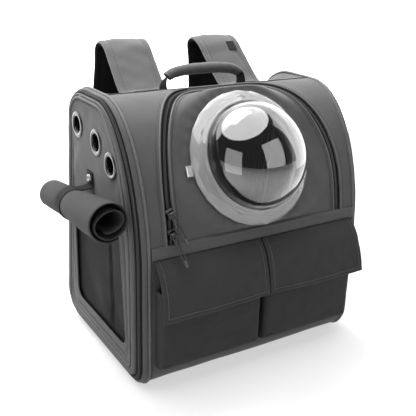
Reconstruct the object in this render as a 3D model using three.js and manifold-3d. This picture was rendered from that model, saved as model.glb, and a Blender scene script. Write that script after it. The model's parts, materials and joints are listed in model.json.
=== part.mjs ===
// A pet carrier backpack with a clear bubble window, standing on its base.
// Millimetres, +Z up, the front faces -Y, and the origin is the middle of the base on the floor.
// Cloth panels are flat patterns, cut in (across, along, out) space and bent round the bag's side profile.

import * as THREE from "three";
import { mergeVertices } from "three/addons/utils/BufferGeometryUtils.js";
import Module from "manifold-3d";

const wasm = await Module();
wasm.setup();

// Overall sizes of the bag.
const bodyWidth = 340; // across the side pipings
const bodyDepth = 250; // front panel to the foot of the back
const bodyHeight = 347; // floor to the crest of the arch
const topRun = 46; // level stretch behind the crest
const frontRise = 157; // height of the straight part of the front
const archReach = 112; // crest of the arch, back from the front panel
const backLean = 30; // how far the top of the back leans forward
const backDrop = 50; // height over which the back turns into the top
const footRadius = 32; // front bottom corner, seen from the side
const heelRadius = 42; // back bottom corner, seen from the side
const topSag = 22; // dip of the top panel between the side gussets

// Cloth, piping and clearances.
const clothWall = 2.6;
const seamGap = 0.35;
const weld = 0.15; // bends flatter than this are left out of a panel
const beadRadius = 2;
const gussetRun = 25; // inset of the side panel's outline from the profile
const gussetEase = 0.6; // share of that inset that is lost along the top
const gussetLap = 16; // how much narrower the front panel is than the side pipings, each side
const baseWall = 3;
const padWall = 8;

// Door with its zipper, in the front panel.
const doorHalfWidth = 120;
const doorFoot = 193; // height at which the door starts
const doorTopY = -26; // depth at which the door's top edge crosses the arch
const doorCornerWidth = 80;
const doorCornerHeight = 150;
const zipperTape = 10;
const chainWidth = 4.4;
const chainRise = 1.5;

// Bubble window.
const ringRim = 18; // width of the ring
const ringFootMargin = 1.48; // cloth between the ring and the door's foot
const ringTopMargin = 20.377; // cloth between the ring and the door's top edge
const ringLean = 1.267; // degrees that the ring is more upright than the arch's chord behind it
const ringStand = 11.744; // how far its plane stands out of that chord
const ringShift = 1.208; // how far its centre lies up from the chord's middle
const ringRise = 14;
const ringFacets = 24;
const domeRise = 55;
const domeWall = 2.2;
const clampWall = 4;
const flattenBlend = 28; // width of the cloth between the flat door round the ring and the arch

// Pockets, flaps and the band above them.
const bandHeight = 15; // the band ends at the door's foot
const pocketFoot = 34;
const pocketMouth = 38; // from the band's foot down to the pocket's mouth
const pocketDepth = 17;
const pocketOuter = 146;
const pocketSplit = 7; // bare cloth between the two pockets
const pocketWall = 2;
const flapDrop = 66;
const flapReach = 26.5; // how far the flap's hem stands out from the front panel
const flapFlare = 3; // how much further out its outer corner stands, and how much its middle swells
const flapOuter = 149;
const flapWall = 2.4;

// Side panels.
const windowFront = -88;
const windowBack = 70;
const windowFoot = 48;
const windowTop = 198;
const windowCorner = 16;
const windowLean = 12;
const meshWall = 1.2;
const eyeletRadius = 17;
const eyeletHole = 10.5;
const eyeletRise = 2.2;
const eyelets = [
  { name: "rear", y: 46, z: bodyHeight - 46 },
  { name: "middle", y: -13, z: bodyHeight - 55 },
  { name: "front", y: -54, z: frontRise + 0.6158 * (bodyHeight - frontRise) },
];

// Rolled window cover with its strap and snap.
const rollFront = -108;
const rollBack = 78;
const rollFrontRadius = 25;
const rollBackRadius = 19;
const rollFrontHeight = bodyHeight - 120;
const rollBackHeight = bodyHeight - 144;
const rollTurns = 1.7;
const rollWall = 2.4;
const rollStrapWidth = 17;
const rollStrapWall = 1.6;
const rollStrapY = 7;
const snapRadius = 6;
const snapHeight = bodyHeight - 108;

// Carrying handle and shoulder straps.
const handleHalf = 58;
const handleY = 21;
const handleLift = 34;
const gripRadius = 6.8;
const gripShare = 0.72; // share of the handle's span that the padded grip covers
const handleTape = 22;
const tapeWall = 1.8;
const strapX = 72;
const strapFootY = 36;
const strapFootX = 96;
const strapWidth = 68;
const strapWall = 9;
const strapApexRise = 43; // height of the shoulder loop's apex above the arch's crest
const strapApexBack = -6; // apex of the shoulder loop, behind the foot of the back
const strapGap = 22; // free space between the strap and the back panel
const webWidth = 25;
const webWall = 1.8;
const padEnd = 128; // height at which the padded strap ends
const webFoot = 52; // height at which the webbing meets the back panel

// Sliders and pulls of the door zipper.
const pullLength = 41;
const pullWidth = 5.5;
const pullWall = 1.8;
const pinRadius = 0.9;
const pinClearance = 0.35;
const pulls = [
  { name: "upper", z: doorFoot + 36, lean: 19, swing: 13 },
  { name: "lower", z: doorFoot + 13, lean: 13, swing: 19 },
];

const front = -bodyDepth / 2;
const back = bodyDepth / 2;
const seamX = bodyWidth / 2 - gussetLap;
const sideFace = bodyWidth / 2 - beadRadius;
const panelHalf = seamX - beadRadius - seamGap;
const floorGap = beadRadius + 0.3; // the profile's height above the floor, so that the piping clears it
const radians = (degrees) => (degrees * Math.PI) / 180;

// The side profile as a closed chain of points from the middle of the base: forward, up the front,
// over the crest, down the back. Each stretch is a line or a quarter of an ellipse.
function sideProfile() {
  const crest = front + archReach;
  const points = [];
  const marks = {};
  const quarter = (cy, cz, ry, rz, start, steps) => {
    for (let i = 1; i <= steps; i++) {
      const t = start - (i / steps) * (Math.PI / 2);
      points.push([cy + ry * Math.cos(t), cz + rz * Math.sin(t)]);
    }
  };
  points.push([0, floorGap], [front + footRadius, floorGap]);
  marks.footStart = 1;
  quarter(front + footRadius, floorGap + footRadius, footRadius, footRadius, -Math.PI / 2, 4);
  marks.footEnd = points.length - 1;
  points.push([front, frontRise]);
  marks.archStart = points.length - 1;
  quarter(crest, frontRise, archReach, bodyHeight - frontRise, Math.PI, 13);
  marks.crest = points.length - 1;
  const turn = crest + topRun;
  points.push([crest + topRun / 2, bodyHeight], [turn, bodyHeight]);
  quarter(turn, bodyHeight - backDrop, back - backLean - turn, backDrop, Math.PI / 2, 6);
  marks.backStart = points.length - 1;
  points.push([back, floorGap + heelRadius]);
  marks.heelStart = points.length - 1;
  quarter(back - heelRadius, floorGap + heelRadius, heelRadius, heelRadius, 0, 4);
  marks.heelEnd = points.length - 1;
  return { points, marks };
}

const { points: profile, marks } = sideProfile();
const lengths = [0];
profile.forEach((p, i) => {
  const q = profile[(i + 1) % profile.length];
  lengths.push(lengths[i] + Math.hypot(q[0] - p[0], q[1] - p[1]));
});
const girth = lengths[profile.length];
const normals = profile.map((p, i) => {
  const a = profile[(i + profile.length - 1) % profile.length];
  const b = profile[(i + 1) % profile.length];
  const size = Math.hypot(b[0] - a[0], b[1] - a[1]);
  return [-(b[1] - a[1]) / size, (b[0] - a[0]) / size];
});
const along = (mark) => lengths[marks[mark]];

// The place at a length along the profile and a distance out of it, as [y, z].
function onProfile(s, out) {
  const turn = ((s % girth) + girth) % girth;
  let i = 0;
  while (i < profile.length - 1 && lengths[i + 1] <= turn) i++;
  const j = (i + 1) % profile.length;
  const t = (turn - lengths[i]) / (lengths[i + 1] - lengths[i]);
  const mix = (a, b) => a + (b - a) * t;
  return [
    mix(profile[i][0], profile[j][0]) + out * mix(normals[i][0], normals[j][0]),
    mix(profile[i][1], profile[j][1]) + out * mix(normals[i][1], normals[j][1]),
  ];
}

// The length along the profile between two marks at which a height or a depth is reached.
function lengthAt(from, to, axis, value) {
  for (let i = marks[from]; i < marks[to]; i++) {
    const a = profile[i][axis];
    const b = profile[i + 1][axis];
    if ((a - value) * (b - value) <= 0 && a !== b)
      return lengths[i] + ((value - a) / (b - a)) * (lengths[i + 1] - lengths[i]);
  }
  return along(to);
}

const smooth = (t) => {
  const c = Math.min(1, Math.max(0, t));
  return c * c * (3 - 2 * c);
};

// The door's foot and its top edge, along the profile.
const doorFootLength = lengthAt("footEnd", "crest", 1, doorFoot);
const doorTopLength = lengthAt("archStart", "crest", 0, doorTopY);

// The ring fills the door's height between its margins.
const ringRadius = (doorTopLength - doorFootLength - ringFootMargin - ringTopMargin) / 2;
const ringHole = ringRadius - ringRim;

// The plane of the window ring: its centre, and the directions up the ring and out of it. It follows
// the chord of the arch between the ring's foot and its top.
const ringLength = doorFootLength + ringFootMargin + ringRadius;
const chordFoot = onProfile(ringLength - ringRadius, 0);
const chordTop = onProfile(ringLength + ringRadius, 0);
const chordTilt = Math.atan2(chordTop[0] - chordFoot[0], chordTop[1] - chordFoot[1]);
const tilt = chordTilt - radians(ringLean);
const ringUp = new THREE.Vector3(0, Math.sin(tilt), Math.cos(tilt));
const ringOut = new THREE.Vector3(0, -Math.cos(tilt), Math.sin(tilt));
const ringCentre = new THREE.Vector3(
  0,
  (chordFoot[0] + chordTop[0]) / 2,
  (chordFoot[1] + chordTop[1]) / 2,
)
  .addScaledVector(ringUp, ringShift)
  .addScaledVector(ringOut, ringStand);

// How far the top panel dips at a place: nothing at the gussets, most in the middle.
function sagAt(x, s) {
  const falls = smooth((s - along("crest")) / 52);
  const rises = smooth((along("backStart") - 4 - s) / 44);
  return topSag * falls * rises * (1 - (x / seamX) ** 4);
}

// A point of a flat pattern, at x across, s along and n out, on the bag. Round the window ring the
// cloth is pulled flat into the ring's plane, and it eases back to the arch over flattenBlend.
function onBag(x, s, n) {
  const [y, z] = onProfile(s, n - sagAt(x, s));
  const bent = new THREE.Vector3(x, y, z);
  const up = s - ringLength;
  const near = 1 - smooth((Math.hypot(x, up) - ringRadius - 7) / flattenBlend);
  const ends = smooth((s - doorFootLength) / 9) * smooth((doorTopLength - s) / 16);
  const share = near * ends;
  if (share <= 0) return bent;
  const flat = ringCentre.clone().addScaledVector(ringUp, up).addScaledVector(ringOut, n);
  flat.x = x;
  return bent.lerp(flat, share);
}

// Cuts triangles, as lists of three [x, y, z], where one coordinate passes a value.
function cutTriangles(triangles, axis, value) {
  const out = [];
  const crossing = (p, q) => {
    const [a, b] = p[axis] < q[axis] ? [p, q] : [q, p];
    const t = (value - a[axis]) / (b[axis] - a[axis]);
    const made = a.map((c, i) => c + (b[i] - c) * t);
    made[axis] = value;
    return made;
  };
  for (const tri of triangles) {
    const side = tri.map((p) => Math.sign(Math.abs(p[axis] - value) < 1e-6 ? 0 : p[axis] - value));
    if (!side.includes(1) || !side.includes(-1)) {
      out.push(tri);
      continue;
    }
    for (const want of [1, -1]) {
      const kept = [];
      tri.forEach((p, i) => {
        const j = (i + 1) % 3;
        if (side[i] !== -want) kept.push(p);
        if (side[i] * side[j] < 0) kept.push(crossing(p, tri[j]));
      });
      for (let i = 1; i + 1 < kept.length; i++) out.push([kept[0], kept[i], kept[i + 1]]);
    }
  }
  return out;
}

function trianglesOf(geometry) {
  const flat = geometry.index ? geometry.toNonIndexed() : geometry;
  const a = flat.getAttribute("position").array;
  const out = [];
  for (let i = 0; i < a.length; i += 9)
    out.push([0, 3, 6].map((k) => [a[i + k], a[i + k + 1], a[i + k + 2]]));
  return out;
}

function geometryOf(triangles) {
  const flat = new Float32Array(triangles.flat(2));
  return new THREE.BufferGeometry().setAttribute("position", new THREE.BufferAttribute(flat, 3));
}

// A geometry's signed volume, which is negative where its faces point inwards.
function signedVolume(triangles) {
  const [a, b, c] = [new THREE.Vector3(), new THREE.Vector3(), new THREE.Vector3()];
  return triangles.reduce((sum, [p, q, r]) => {
    return sum + a.set(...p).dot(b.set(...q).cross(c.set(...r))) / 6;
  }, 0);
}

function facingOut(triangles) {
  return signedVolume(triangles) < 0 ? triangles.map(([a, b, c]) => [a, c, b]) : triangles;
}

// A Shape from an outline and its holes, each a list of Vector2, turned the way that three.js wants.
function shapeOf(outline, holes = []) {
  const turned = THREE.ShapeUtils.isClockWise(outline) ? [...outline].reverse() : outline;
  const shape = new THREE.Shape(turned);
  holes.forEach((hole) => shape.holes.push(new THREE.Path(hole)));
  return shape;
}

function circle(x, y, radius, steps) {
  return Array.from({ length: steps }, (_, i) => {
    const t = (i / steps) * 2 * Math.PI;
    return new THREE.Vector2(x + radius * Math.cos(t), y + radius * Math.sin(t));
  });
}

// A flat pattern, a Shape in across and along, between two distances out of the bag's surface.
// columns are the places across at which the cloth may also bend, and bends under fold are left out.
function bentCloth(shape, low, high, columns = [], fold = weld) {
  const plate = new THREE.ExtrudeGeometry(shape, { depth: high - low, bevelEnabled: false });
  let triangles = trianglesOf(plate.translate(0, 0, low));
  const lines = [];
  for (const turn of [-girth, 0, girth]) lengths.slice(0, -1).forEach((s) => lines.push(s + turn));
  lines.forEach((s) => (triangles = cutTriangles(triangles, 1, s)));
  columns.forEach((x) => (triangles = cutTriangles(triangles, 0, x)));
  const bent = geometryOf(triangles.map((tri) => tri.map((p) => onBag(...p).toArray())));
  return geometryFrom(solid(bent).asOriginal().simplify(fold));
}

// The inset of the side panel's outline at a point of the profile, which is less along the top.
const insetAt = (i) => gussetRun * (1 - gussetEase * Math.max(0, normals[i][1]) ** 2);

// A closed hoop round the whole profile. Its section is worked out from the inset at each place.
function hoop(sectionFor, side) {
  const rows = profile.map((p, i) =>
    sectionFor(insetAt(i)).map(([x, out]) => [
      side * x,
      p[0] + out * normals[i][0],
      p[1] + out * normals[i][1],
    ]),
  );
  const triangles = [];
  rows.forEach((row, i) => {
    const next = rows[(i + 1) % rows.length];
    row.forEach((a, k) => {
      const m = (k + 1) % row.length;
      triangles.push([a, next[k], next[m]], [a, next[m], row[m]]);
    });
  });
  return geometryOf(facingOut(triangles));
}

// A solid from rows of points that are closed rings, with flat ends.
function loft(rows) {
  const triangles = [];
  for (let i = 0; i + 1 < rows.length; i++)
    rows[i].forEach((a, k) => {
      const m = (k + 1) % rows[i].length;
      triangles.push([a, rows[i + 1][k], rows[i + 1][m]], [a, rows[i + 1][m], rows[i][m]]);
    });
  const cap = (row, turned) => {
    const [o, p] = [new THREE.Vector3(...row[0]), new THREE.Vector3(...row[1])];
    const u = p.clone().sub(o).normalize();
    let w = new THREE.Vector3();
    for (let k = 2; k < row.length; k++) {
      const q = u.clone().cross(new THREE.Vector3(...row[k]).sub(o));
      if (q.length() > w.length()) w = q;
    }
    const v = w.normalize().cross(u);
    const flat = row.map((q) => {
      const d = new THREE.Vector3(...q).sub(o);
      return new THREE.Vector2(d.dot(u), d.dot(v));
    });
    const clockwise = THREE.ShapeUtils.isClockWise(flat);
    for (const [a, b, c] of THREE.ShapeUtils.triangulateShape(flat, [])) {
      const same = THREE.ShapeUtils.isClockWise([flat[a], flat[b], flat[c]]) === clockwise;
      const tri = [row[a], row[b], row[c]];
      triangles.push(same === turned ? tri : [tri[0], tri[2], tri[1]]);
    }
  };
  cap(rows[0], true);
  cap(rows[rows.length - 1], false);
  return geometryOf(facingOut(triangles));
}

// Turns a section of [radius, height] points round the y axis.
function lathe(section, steps) {
  const points = section.map(([r, h]) => new THREE.Vector2(r, h));
  return geometryOf(facingOut(trianglesOf(new THREE.LatheGeometry(points, steps))));
}

// A geometry as a manifold-3d solid.
function solid(geometry) {
  const flat = geometry.index ? geometry.toNonIndexed() : geometry;
  const bare = new THREE.BufferGeometry();
  bare.setAttribute("position", flat.getAttribute("position"));
  const merged = mergeVertices(bare, 1e-3);
  return new wasm.Manifold(
    new wasm.Mesh({
      numProp: 3,
      vertProperties: merged.getAttribute("position").array,
      triVerts: new Uint32Array(merged.index.array),
    }),
  );
}

function geometryFrom(body) {
  const mesh = body.getMesh();
  return new THREE.BufferGeometry()
    .setAttribute("position", new THREE.BufferAttribute(new Float32Array(mesh.vertProperties), 3))
    .setIndex(new THREE.BufferAttribute(new Uint32Array(mesh.triVerts), 1));
}

const cloth = { color: 0x4b4b4c, roughness: 0.85, metalness: 0 };
const finishes = {
  cloth,
  darkCloth: { ...cloth, color: 0x363637 },
  piping: { ...cloth, color: 0x525253 },
  webbing: { ...cloth, color: 0x2e2e2f },
  mesh: { color: 0x171717, roughness: 0.9, metalness: 0 },
  zipper: { color: 0x1c1c1d, roughness: 0.6, metalness: 0.1 },
  clear: { color: 0xdadada, roughness: 0.05, metalness: 0, transparent: true, opacity: 0.35 },
  plastic: { color: 0x202020, roughness: 0.4, metalness: 0 },
  metal: { color: 0x151515, roughness: 0.25, metalness: 0.9 },
};
const materials = Object.fromEntries(
  Object.entries(finishes).map(([name, look]) => [name, new THREE.MeshStandardMaterial(look)]),
);

const bag = new THREE.Group();
bag.name = "pet_carrier_backpack";

function add(name, geometry, finish) {
  const mesh = new THREE.Mesh(geometry, materials[finish]);
  mesh.name = name;
  bag.add(mesh);
  return mesh;
}

// Places at even steps between two values, ends left out.
const between = (low, high, steps) =>
  Array.from({ length: steps - 1 }, (_, i) => low + ((high - low) * (i + 1)) / steps);

function rectangle(left, right, low, high) {
  return new THREE.Shape([
    new THREE.Vector2(left, low),
    new THREE.Vector2(right, low),
    new THREE.Vector2(right, high),
    new THREE.Vector2(left, high),
  ]);
}

// The door's outline as points from its left foot, over its round corners, to its right foot.
// grow moves the outline outwards.
function doorArch(grow) {
  const half = doorHalfWidth + grow;
  const top = doorTopLength + grow;
  const wide = doorCornerWidth + grow;
  const tall = doorCornerHeight + grow;
  const steps = 12;
  const foot = doorFootLength - Math.min(grow, seamGap);
  const points = [new THREE.Vector2(-half, foot)];
  for (const [cx, start] of [
    [-half + wide, Math.PI],
    [half - wide, Math.PI / 2],
  ])
    for (let i = 0; i <= steps; i++) {
      const t = start - (i / steps) * (Math.PI / 2);
      points.push(new THREE.Vector2(cx + wide * Math.cos(t), top - tall + tall * Math.sin(t)));
    }
  points.push(new THREE.Vector2(half, foot));
  return points;
}

// The front panel goes from the foot of the front to the crest, with the door's arch cut out.
const topSeam = along("crest") + 4;
function frontPanel() {
  const low = along("footStart") + seamGap;
  const arch = doorArch(zipperTape + 2 * seamGap);
  const outline = rectangle(-panelHalf, panelHalf, low, topSeam).getPoints();
  return bentCloth(shapeOf(outline, [arch]), -clothWall, 0);
}

function door() {
  const hole = circle(0, ringLength, ringHole + 3, 28);
  const columns = between(-doorHalfWidth, doorHalfWidth, 8);
  return bentCloth(shapeOf(doorArch(0), [hole]), -clothWall, 0, columns);
}

// A strip of the given width round the door's arch, with its inner edge grow outside the door.
function archStrip(grow, width, low, high) {
  const outer = doorArch(grow + width);
  const inner = doorArch(grow).reverse();
  return bentCloth(shapeOf([...outer, ...inner]), low, high, [], weld / 5);
}

add("front_panel", frontPanel(), "cloth");
add("door_panel", door(), "cloth");
add("door_zipper_tape", archStrip(seamGap, zipperTape, -clothWall, -1.2), "zipper");
add(
  "door_zipper_chain",
  archStrip((zipperTape - chainWidth) / 2 + seamGap, chainWidth, -0.55, chainRise - 0.55),
  "zipper",
);
add(
  "top_panel",
  bentCloth(
    rectangle(-panelHalf, panelHalf, topSeam + seamGap, along("backStart") - seamGap),
    -clothWall,
    0,
    between(-panelHalf, panelHalf, 6),
  ),
  "cloth",
);
add(
  "back_panel",
  bentCloth(
    rectangle(-panelHalf, panelHalf, along("backStart"), along("heelEnd") - seamGap),
    -padWall,
    0,
  ),
  "darkCloth",
);
add(
  "base_panel",
  bentCloth(
    rectangle(-panelHalf, panelHalf, along("heelEnd") - girth, along("footStart")),
    -baseWall,
    floorGap,
  ),
  "darkCloth",
);

// The window ring is a clear bezel with triangular facets between three rings of points, the middle
// one turned by half a facet.
function windowRing() {
  const foot = 0.6;
  const rows = [
    { radius: ringRadius, rise: foot, turn: 0 },
    { radius: ringRadius, rise: 3.5, turn: 0 },
    { radius: ringRadius - 6.5, rise: 9.5, turn: 0.5 },
    { radius: ringHole + 4.5, rise: ringRise, turn: 0 },
    { radius: ringHole, rise: ringRise, turn: 0 },
    { radius: ringHole, rise: foot, turn: 0 },
  ].map(({ radius, rise, turn }) =>
    Array.from({ length: ringFacets }, (_, i) => {
      const t = ((i + turn) / ringFacets) * 2 * Math.PI;
      return onRing(radius * Math.cos(t), radius * Math.sin(t), rise).toArray();
    }),
  );
  const triangles = [];
  rows.forEach((row, r) => {
    const next = rows[(r + 1) % rows.length];
    const turned = r === 2;
    row.forEach((a, i) => {
      const j = (i + 1) % ringFacets;
      if (turned) triangles.push([a, next[j], next[i]], [a, row[j], next[j]]);
      else triangles.push([a, row[j], next[i]], [row[j], next[j], next[i]]);
    });
  });
  return geometryOf(facingOut(triangles));
}

// A point in the ring's own frame: x across, up the ring, and out of its plane.
function onRing(x, up, out) {
  const p = ringCentre.clone().addScaledVector(ringUp, up).addScaledVector(ringOut, out);
  p.x += x;
  return p;
}

// Turns a shape made round +Y into the ring's frame, with +Y out of the ring.
function toRing(geometry) {
  const frame = new THREE.Matrix4().makeBasis(
    new THREE.Vector3(1, 0, 0),
    ringOut,
    ringUp.clone().negate(),
  );
  return geometry.applyMatrix4(frame.setPosition(ringCentre));
}

// The bubble is a thin ellipsoid cap with a rim that sits inside the ring.
function dome() {
  const radius = ringHole * Math.cos(Math.PI / ringFacets) - seamGap;
  const steps = 6;
  const cap = (r, h) =>
    Array.from({ length: steps + 1 }, (_, i) => {
      const t = (i / steps) * (Math.PI / 2);
      return [i < steps ? r * Math.cos(t) : 0, ringRise + h * Math.sin(t)];
    });
  const outer = cap(radius, domeRise);
  const inner = cap(radius - domeWall, domeRise - domeWall);
  return toRing(lathe([...outer.reverse(), [radius, 1], [radius - domeWall, 1], ...inner], 20));
}

// Behind the cloth a black ring clamps the window to the door.
function clampRing() {
  const top = -clothWall - seamGap;
  const inner = ringHole - domeWall - 3;
  const outer = ringRadius - 9;
  const foot = top - clampWall;
  const section = [
    [inner, foot],
    [outer, foot],
    [outer, top],
    [inner, top],
    [inner, foot],
  ];
  return toRing(lathe(section, 28));
}

// A small latch stands on the cloth against the ring's left edge, seen from the front.
function latch() {
  const shape = rectangle(-3.2, 3.2, -6.5, 6.5);
  const block = new THREE.ExtrudeGeometry(shape, { depth: 4, bevelEnabled: false });
  const frame = new THREE.Matrix4().makeBasis(new THREE.Vector3(1, 0, 0), ringUp, ringOut);
  frame.setPosition(onRing(-ringRadius - 3.2 - seamGap, -6, 1.1));
  return block.applyMatrix4(frame);
}

add("window_ring", windowRing(), "clear");
add("window_dome", dome(), "clear");
add("window_clamp", clampRing(), "plastic");
add("window_latch", latch(), "plastic");

// The band is a folded strip of cloth across the front, over the pockets.
add(
  "pocket_band",
  bentCloth(
    rectangle(
      -panelHalf,
      panelHalf,
      lengthAt("footEnd", "crest", 1, doorFoot - bandHeight),
      doorFootLength - seamGap,
    ),
    seamGap,
    seamGap + clothWall,
  ),
  "cloth",
);

// A pocket is a tray of cloth, open at its top and against the front panel.
function pocket(side) {
  const mouth = doorFoot - bandHeight - pocketMouth;
  const tray = (inset, low, high, depth, start) => {
    const left = pocketSplit / 2 + inset;
    const right = pocketOuter - inset;
    const corner = 8 - inset;
    const shape = new THREE.Shape();
    shape.moveTo(left, high);
    shape.lineTo(left, low + corner);
    shape.quadraticCurveTo(left, low, left + corner, low);
    shape.lineTo(right - corner, low);
    shape.quadraticCurveTo(right, low, right, low + corner);
    shape.lineTo(right, high);
    const block = new THREE.ExtrudeGeometry(shape, { depth, bevelEnabled: false, curveSegments: 4 });
    return solid(block.rotateX(Math.PI / 2).translate(0, start, 0));
  };
  const outside = tray(0, pocketFoot, mouth, pocketDepth, front - seamGap);
  const inside = tray(
    pocketWall,
    pocketFoot + pocketWall,
    mouth + 5,
    pocketDepth - pocketWall + 1,
    front - seamGap + 1,
  );
  const made = geometryFrom(outside.subtract(inside));
  return side > 0 ? made : mirrored(made);
}

function mirrored(geometry) {
  const turned = trianglesOf(geometry).map(([a, b, c]) =>
    [a, c, b].map(([x, y, z]) => [-x, y, z]),
  );
  return geometryOf(turned);
}

// Rows down a flap, as shares of its drop and of how far it stands out from the front panel.
const flapSection = [
  { drop: 0, out: 0 },
  { drop: 0.1, out: 0.302 },
  { drop: 0.28, out: 0.585 },
  { drop: 0.55, out: 0.83 },
  { drop: 0.8, out: 0.943 },
  { drop: 1, out: 1 },
];

// A flap hangs from the band over its pocket like an awning, and flares towards its outer corner.
function flap(side) {
  const columns = 7;
  const top = doorFoot - bandHeight - 1;
  const inner = 0.8;
  const face = (lift) =>
    flapSection.map(({ drop, out }) => {
      const z = top - flapDrop * drop;
      const [panelY] = onProfile(lengthAt("footEnd", "crest", 1, z), 0);
      return Array.from({ length: columns }, (_, i) => {
        const u = i / (columns - 1);
        const flare = flapFlare * out * u * u * drop;
        const reach = flapReach * out + flare + flapFlare * Math.sin(Math.PI * u) * drop;
        const x = inner + (flapOuter - inner) * u + flapFlare * u * drop * drop;
        return [side * x, panelY - seamGap - lift - reach, z];
      });
    });
  return slab(face(flapWall), face(0));
}

// A closed sheet between an outer and an inner grid of points.
function slab(outer, inner) {
  const triangles = [];
  const quad = (a, b, c, d) => triangles.push([a, b, c], [a, c, d]);
  const rows = outer.length - 1;
  const columns = outer[0].length - 1;
  for (let r = 0; r < rows; r++)
    for (let c = 0; c < columns; c++) {
      quad(outer[r][c], outer[r][c + 1], outer[r + 1][c + 1], outer[r + 1][c]);
      quad(inner[r][c], inner[r + 1][c], inner[r + 1][c + 1], inner[r][c + 1]);
    }
  for (let c = 0; c < columns; c++) {
    quad(outer[0][c + 1], outer[0][c], inner[0][c], inner[0][c + 1]);
    quad(outer[rows][c], outer[rows][c + 1], inner[rows][c + 1], inner[rows][c]);
  }
  for (let r = 0; r < rows; r++) {
    quad(outer[r][0], outer[r + 1][0], inner[r + 1][0], inner[r][0]);
    quad(outer[r + 1][columns], outer[r][columns], inner[r][columns], inner[r + 1][columns]);
  }
  return geometryOf(facingOut(triangles));
}

for (const [name, side] of [
  ["left", -1],
  ["right", 1],
]) {
  add(`${name}_pocket`, pocket(side), "darkCloth");
  add(`${name}_pocket_flap`, flap(side), "darkCloth");
}

// A gusset runs round each side of the bag, between two pipings, with a zipper along its middle.
// Its face is a chain of [x, out] points from the front piping to the side piping.
function gussetFace(inset) {
  const start = seamX + beadRadius + seamGap;
  return [
    [start, 0],
    [start + (sideFace - start) * 0.5, -0.18 * inset],
    [sideFace - 0.6, -0.62 * inset],
    [sideFace, beadRadius + seamGap - inset],
  ];
}

function gussetSection(inset) {
  const face = gussetFace(inset);
  const wall = clothWall;
  const inner = [
    [face[3][0] - wall, face[3][1]],
    [face[1][0] - wall * 0.4, face[1][1] - wall],
    [face[0][0], -wall],
  ];
  return [...face, ...inner];
}

// The zipper lies on the gusset's middle facet, between two shares of its width.
function gussetZipper(inset) {
  const [, a, b] = gussetFace(inset);
  const size = Math.hypot(b[0] - a[0], b[1] - a[1]);
  const out = [(a[1] - b[1]) / size, (b[0] - a[0]) / size];
  const at = (share, lift) => [
    a[0] + (b[0] - a[0]) * share + out[0] * lift,
    a[1] + (b[1] - a[1]) * share + out[1] * lift,
  ];
  const [low, high] = [seamGap, seamGap + 1.4];
  return [at(0.14, low), at(0.14, high), at(0.86, high), at(0.86, low)];
}

function bead(x, out) {
  return Array.from({ length: 5 }, (_, i) => {
    const t = (i / 5) * 2 * Math.PI;
    return [x + beadRadius * Math.cos(t), out + beadRadius * Math.sin(t)];
  });
}

// The outline of a side panel, as [y, z] points, a distance inside its piping.
function sideOutline(gap) {
  return profile.map((p, i) => {
    const inset = insetAt(i) + gap;
    return [p[0] - inset * normals[i][0], p[1] - inset * normals[i][1]];
  });
}

function windowOutline(grow) {
  const [a, b] = [windowFront - grow, windowBack + grow];
  const [low, high] = [windowFoot - grow, windowTop + grow];
  const r = windowCorner + grow;
  const lean = windowLean; // the front edge leans back towards its top
  const path = new THREE.Path();
  path.moveTo(a + r, low);
  path.lineTo(b - r, low);
  path.quadraticCurveTo(b, low, b, low + r);
  path.lineTo(b, high - r);
  path.quadraticCurveTo(b, high, b - r, high);
  path.lineTo(a + lean + r, high);
  path.quadraticCurveTo(a + lean, high, a + lean, high - r);
  path.lineTo(a, low + r);
  path.quadraticCurveTo(a, low, a + r, low);
  return path.getPoints(4).slice(0, -1);
}

// Extrudes a Shape in y and z from x = 0 outwards to x = depth.
function plateAlongX(shape, depth) {
  const plate = new THREE.ExtrudeGeometry(shape, { depth, bevelEnabled: false });
  const turn = new THREE.Matrix4().makeBasis(
    new THREE.Vector3(0, 1, 0),
    new THREE.Vector3(0, 0, 1),
    new THREE.Vector3(1, 0, 0),
  );
  return plate.applyMatrix4(turn);
}

function sidePanel() {
  const outline = sideOutline(beadRadius + seamGap);
  const holes = eyelets.map(({ y, z }) => circle(y, z, eyeletHole + 1.2, 14));
  holes.push(windowOutline(0));
  const shape = shapeOf(
    outline.map(([y, z]) => new THREE.Vector2(y, z)),
    holes,
  );
  return plateAlongX(shape, clothWall).translate(sideFace - clothWall, 0, 0);
}

// The net lies behind the side panel's window, a little larger than it.
function windowNet() {
  const net = plateAlongX(shapeOf(windowOutline(6)), meshWall);
  return net.translate(sideFace - clothWall - seamGap - meshWall, 0, 0);
}

// An eyelet is a rolled ring on both faces of the cloth, joined through the hole.
function eyelet(y, z) {
  const barrel = eyeletHole + 0.9;
  const backFace = -clothWall - seamGap;
  const section = [
    [eyeletHole, backFace - 0.8],
    [eyeletRadius - 2, backFace - 0.8],
    [eyeletRadius - 2, backFace],
    [barrel, backFace],
    [barrel, seamGap],
    [eyeletRadius, seamGap],
    [eyeletRadius - 2.5, eyeletRise],
    [eyeletHole + 0.8, eyeletRise],
    [eyeletHole, eyeletRise - 1],
    [eyeletHole, backFace - 0.8],
  ];
  return lathe(section, 10).rotateZ(-Math.PI / 2).translate(sideFace, y, z);
}

for (const [name, side] of [
  ["left", -1],
  ["right", 1],
]) {
  const placed = (geometry) => (side > 0 ? geometry : mirrored(geometry));
  add(`${name}_gusset`, hoop(gussetSection, side), "cloth");
  add(`${name}_gusset_zipper`, hoop(gussetZipper, side), "zipper");
  const frontBead = () => bead(seamX, 0);
  const sideBead = (inset) => bead(sideFace, -inset);
  add(`${name}_front_piping`, hoop(frontBead, side), "piping");
  add(`${name}_side_piping`, hoop(sideBead, side), "piping");
  add(`${name}_side_panel`, placed(sidePanel()), "cloth");
  add(`${name}_window_net`, placed(windowNet()), "mesh");
  eyelets.forEach(({ name: place, y, z }) => {
    add(`${name}_eyelet_${place}`, placed(eyelet(y, z)), "metal");
  });
}

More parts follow.
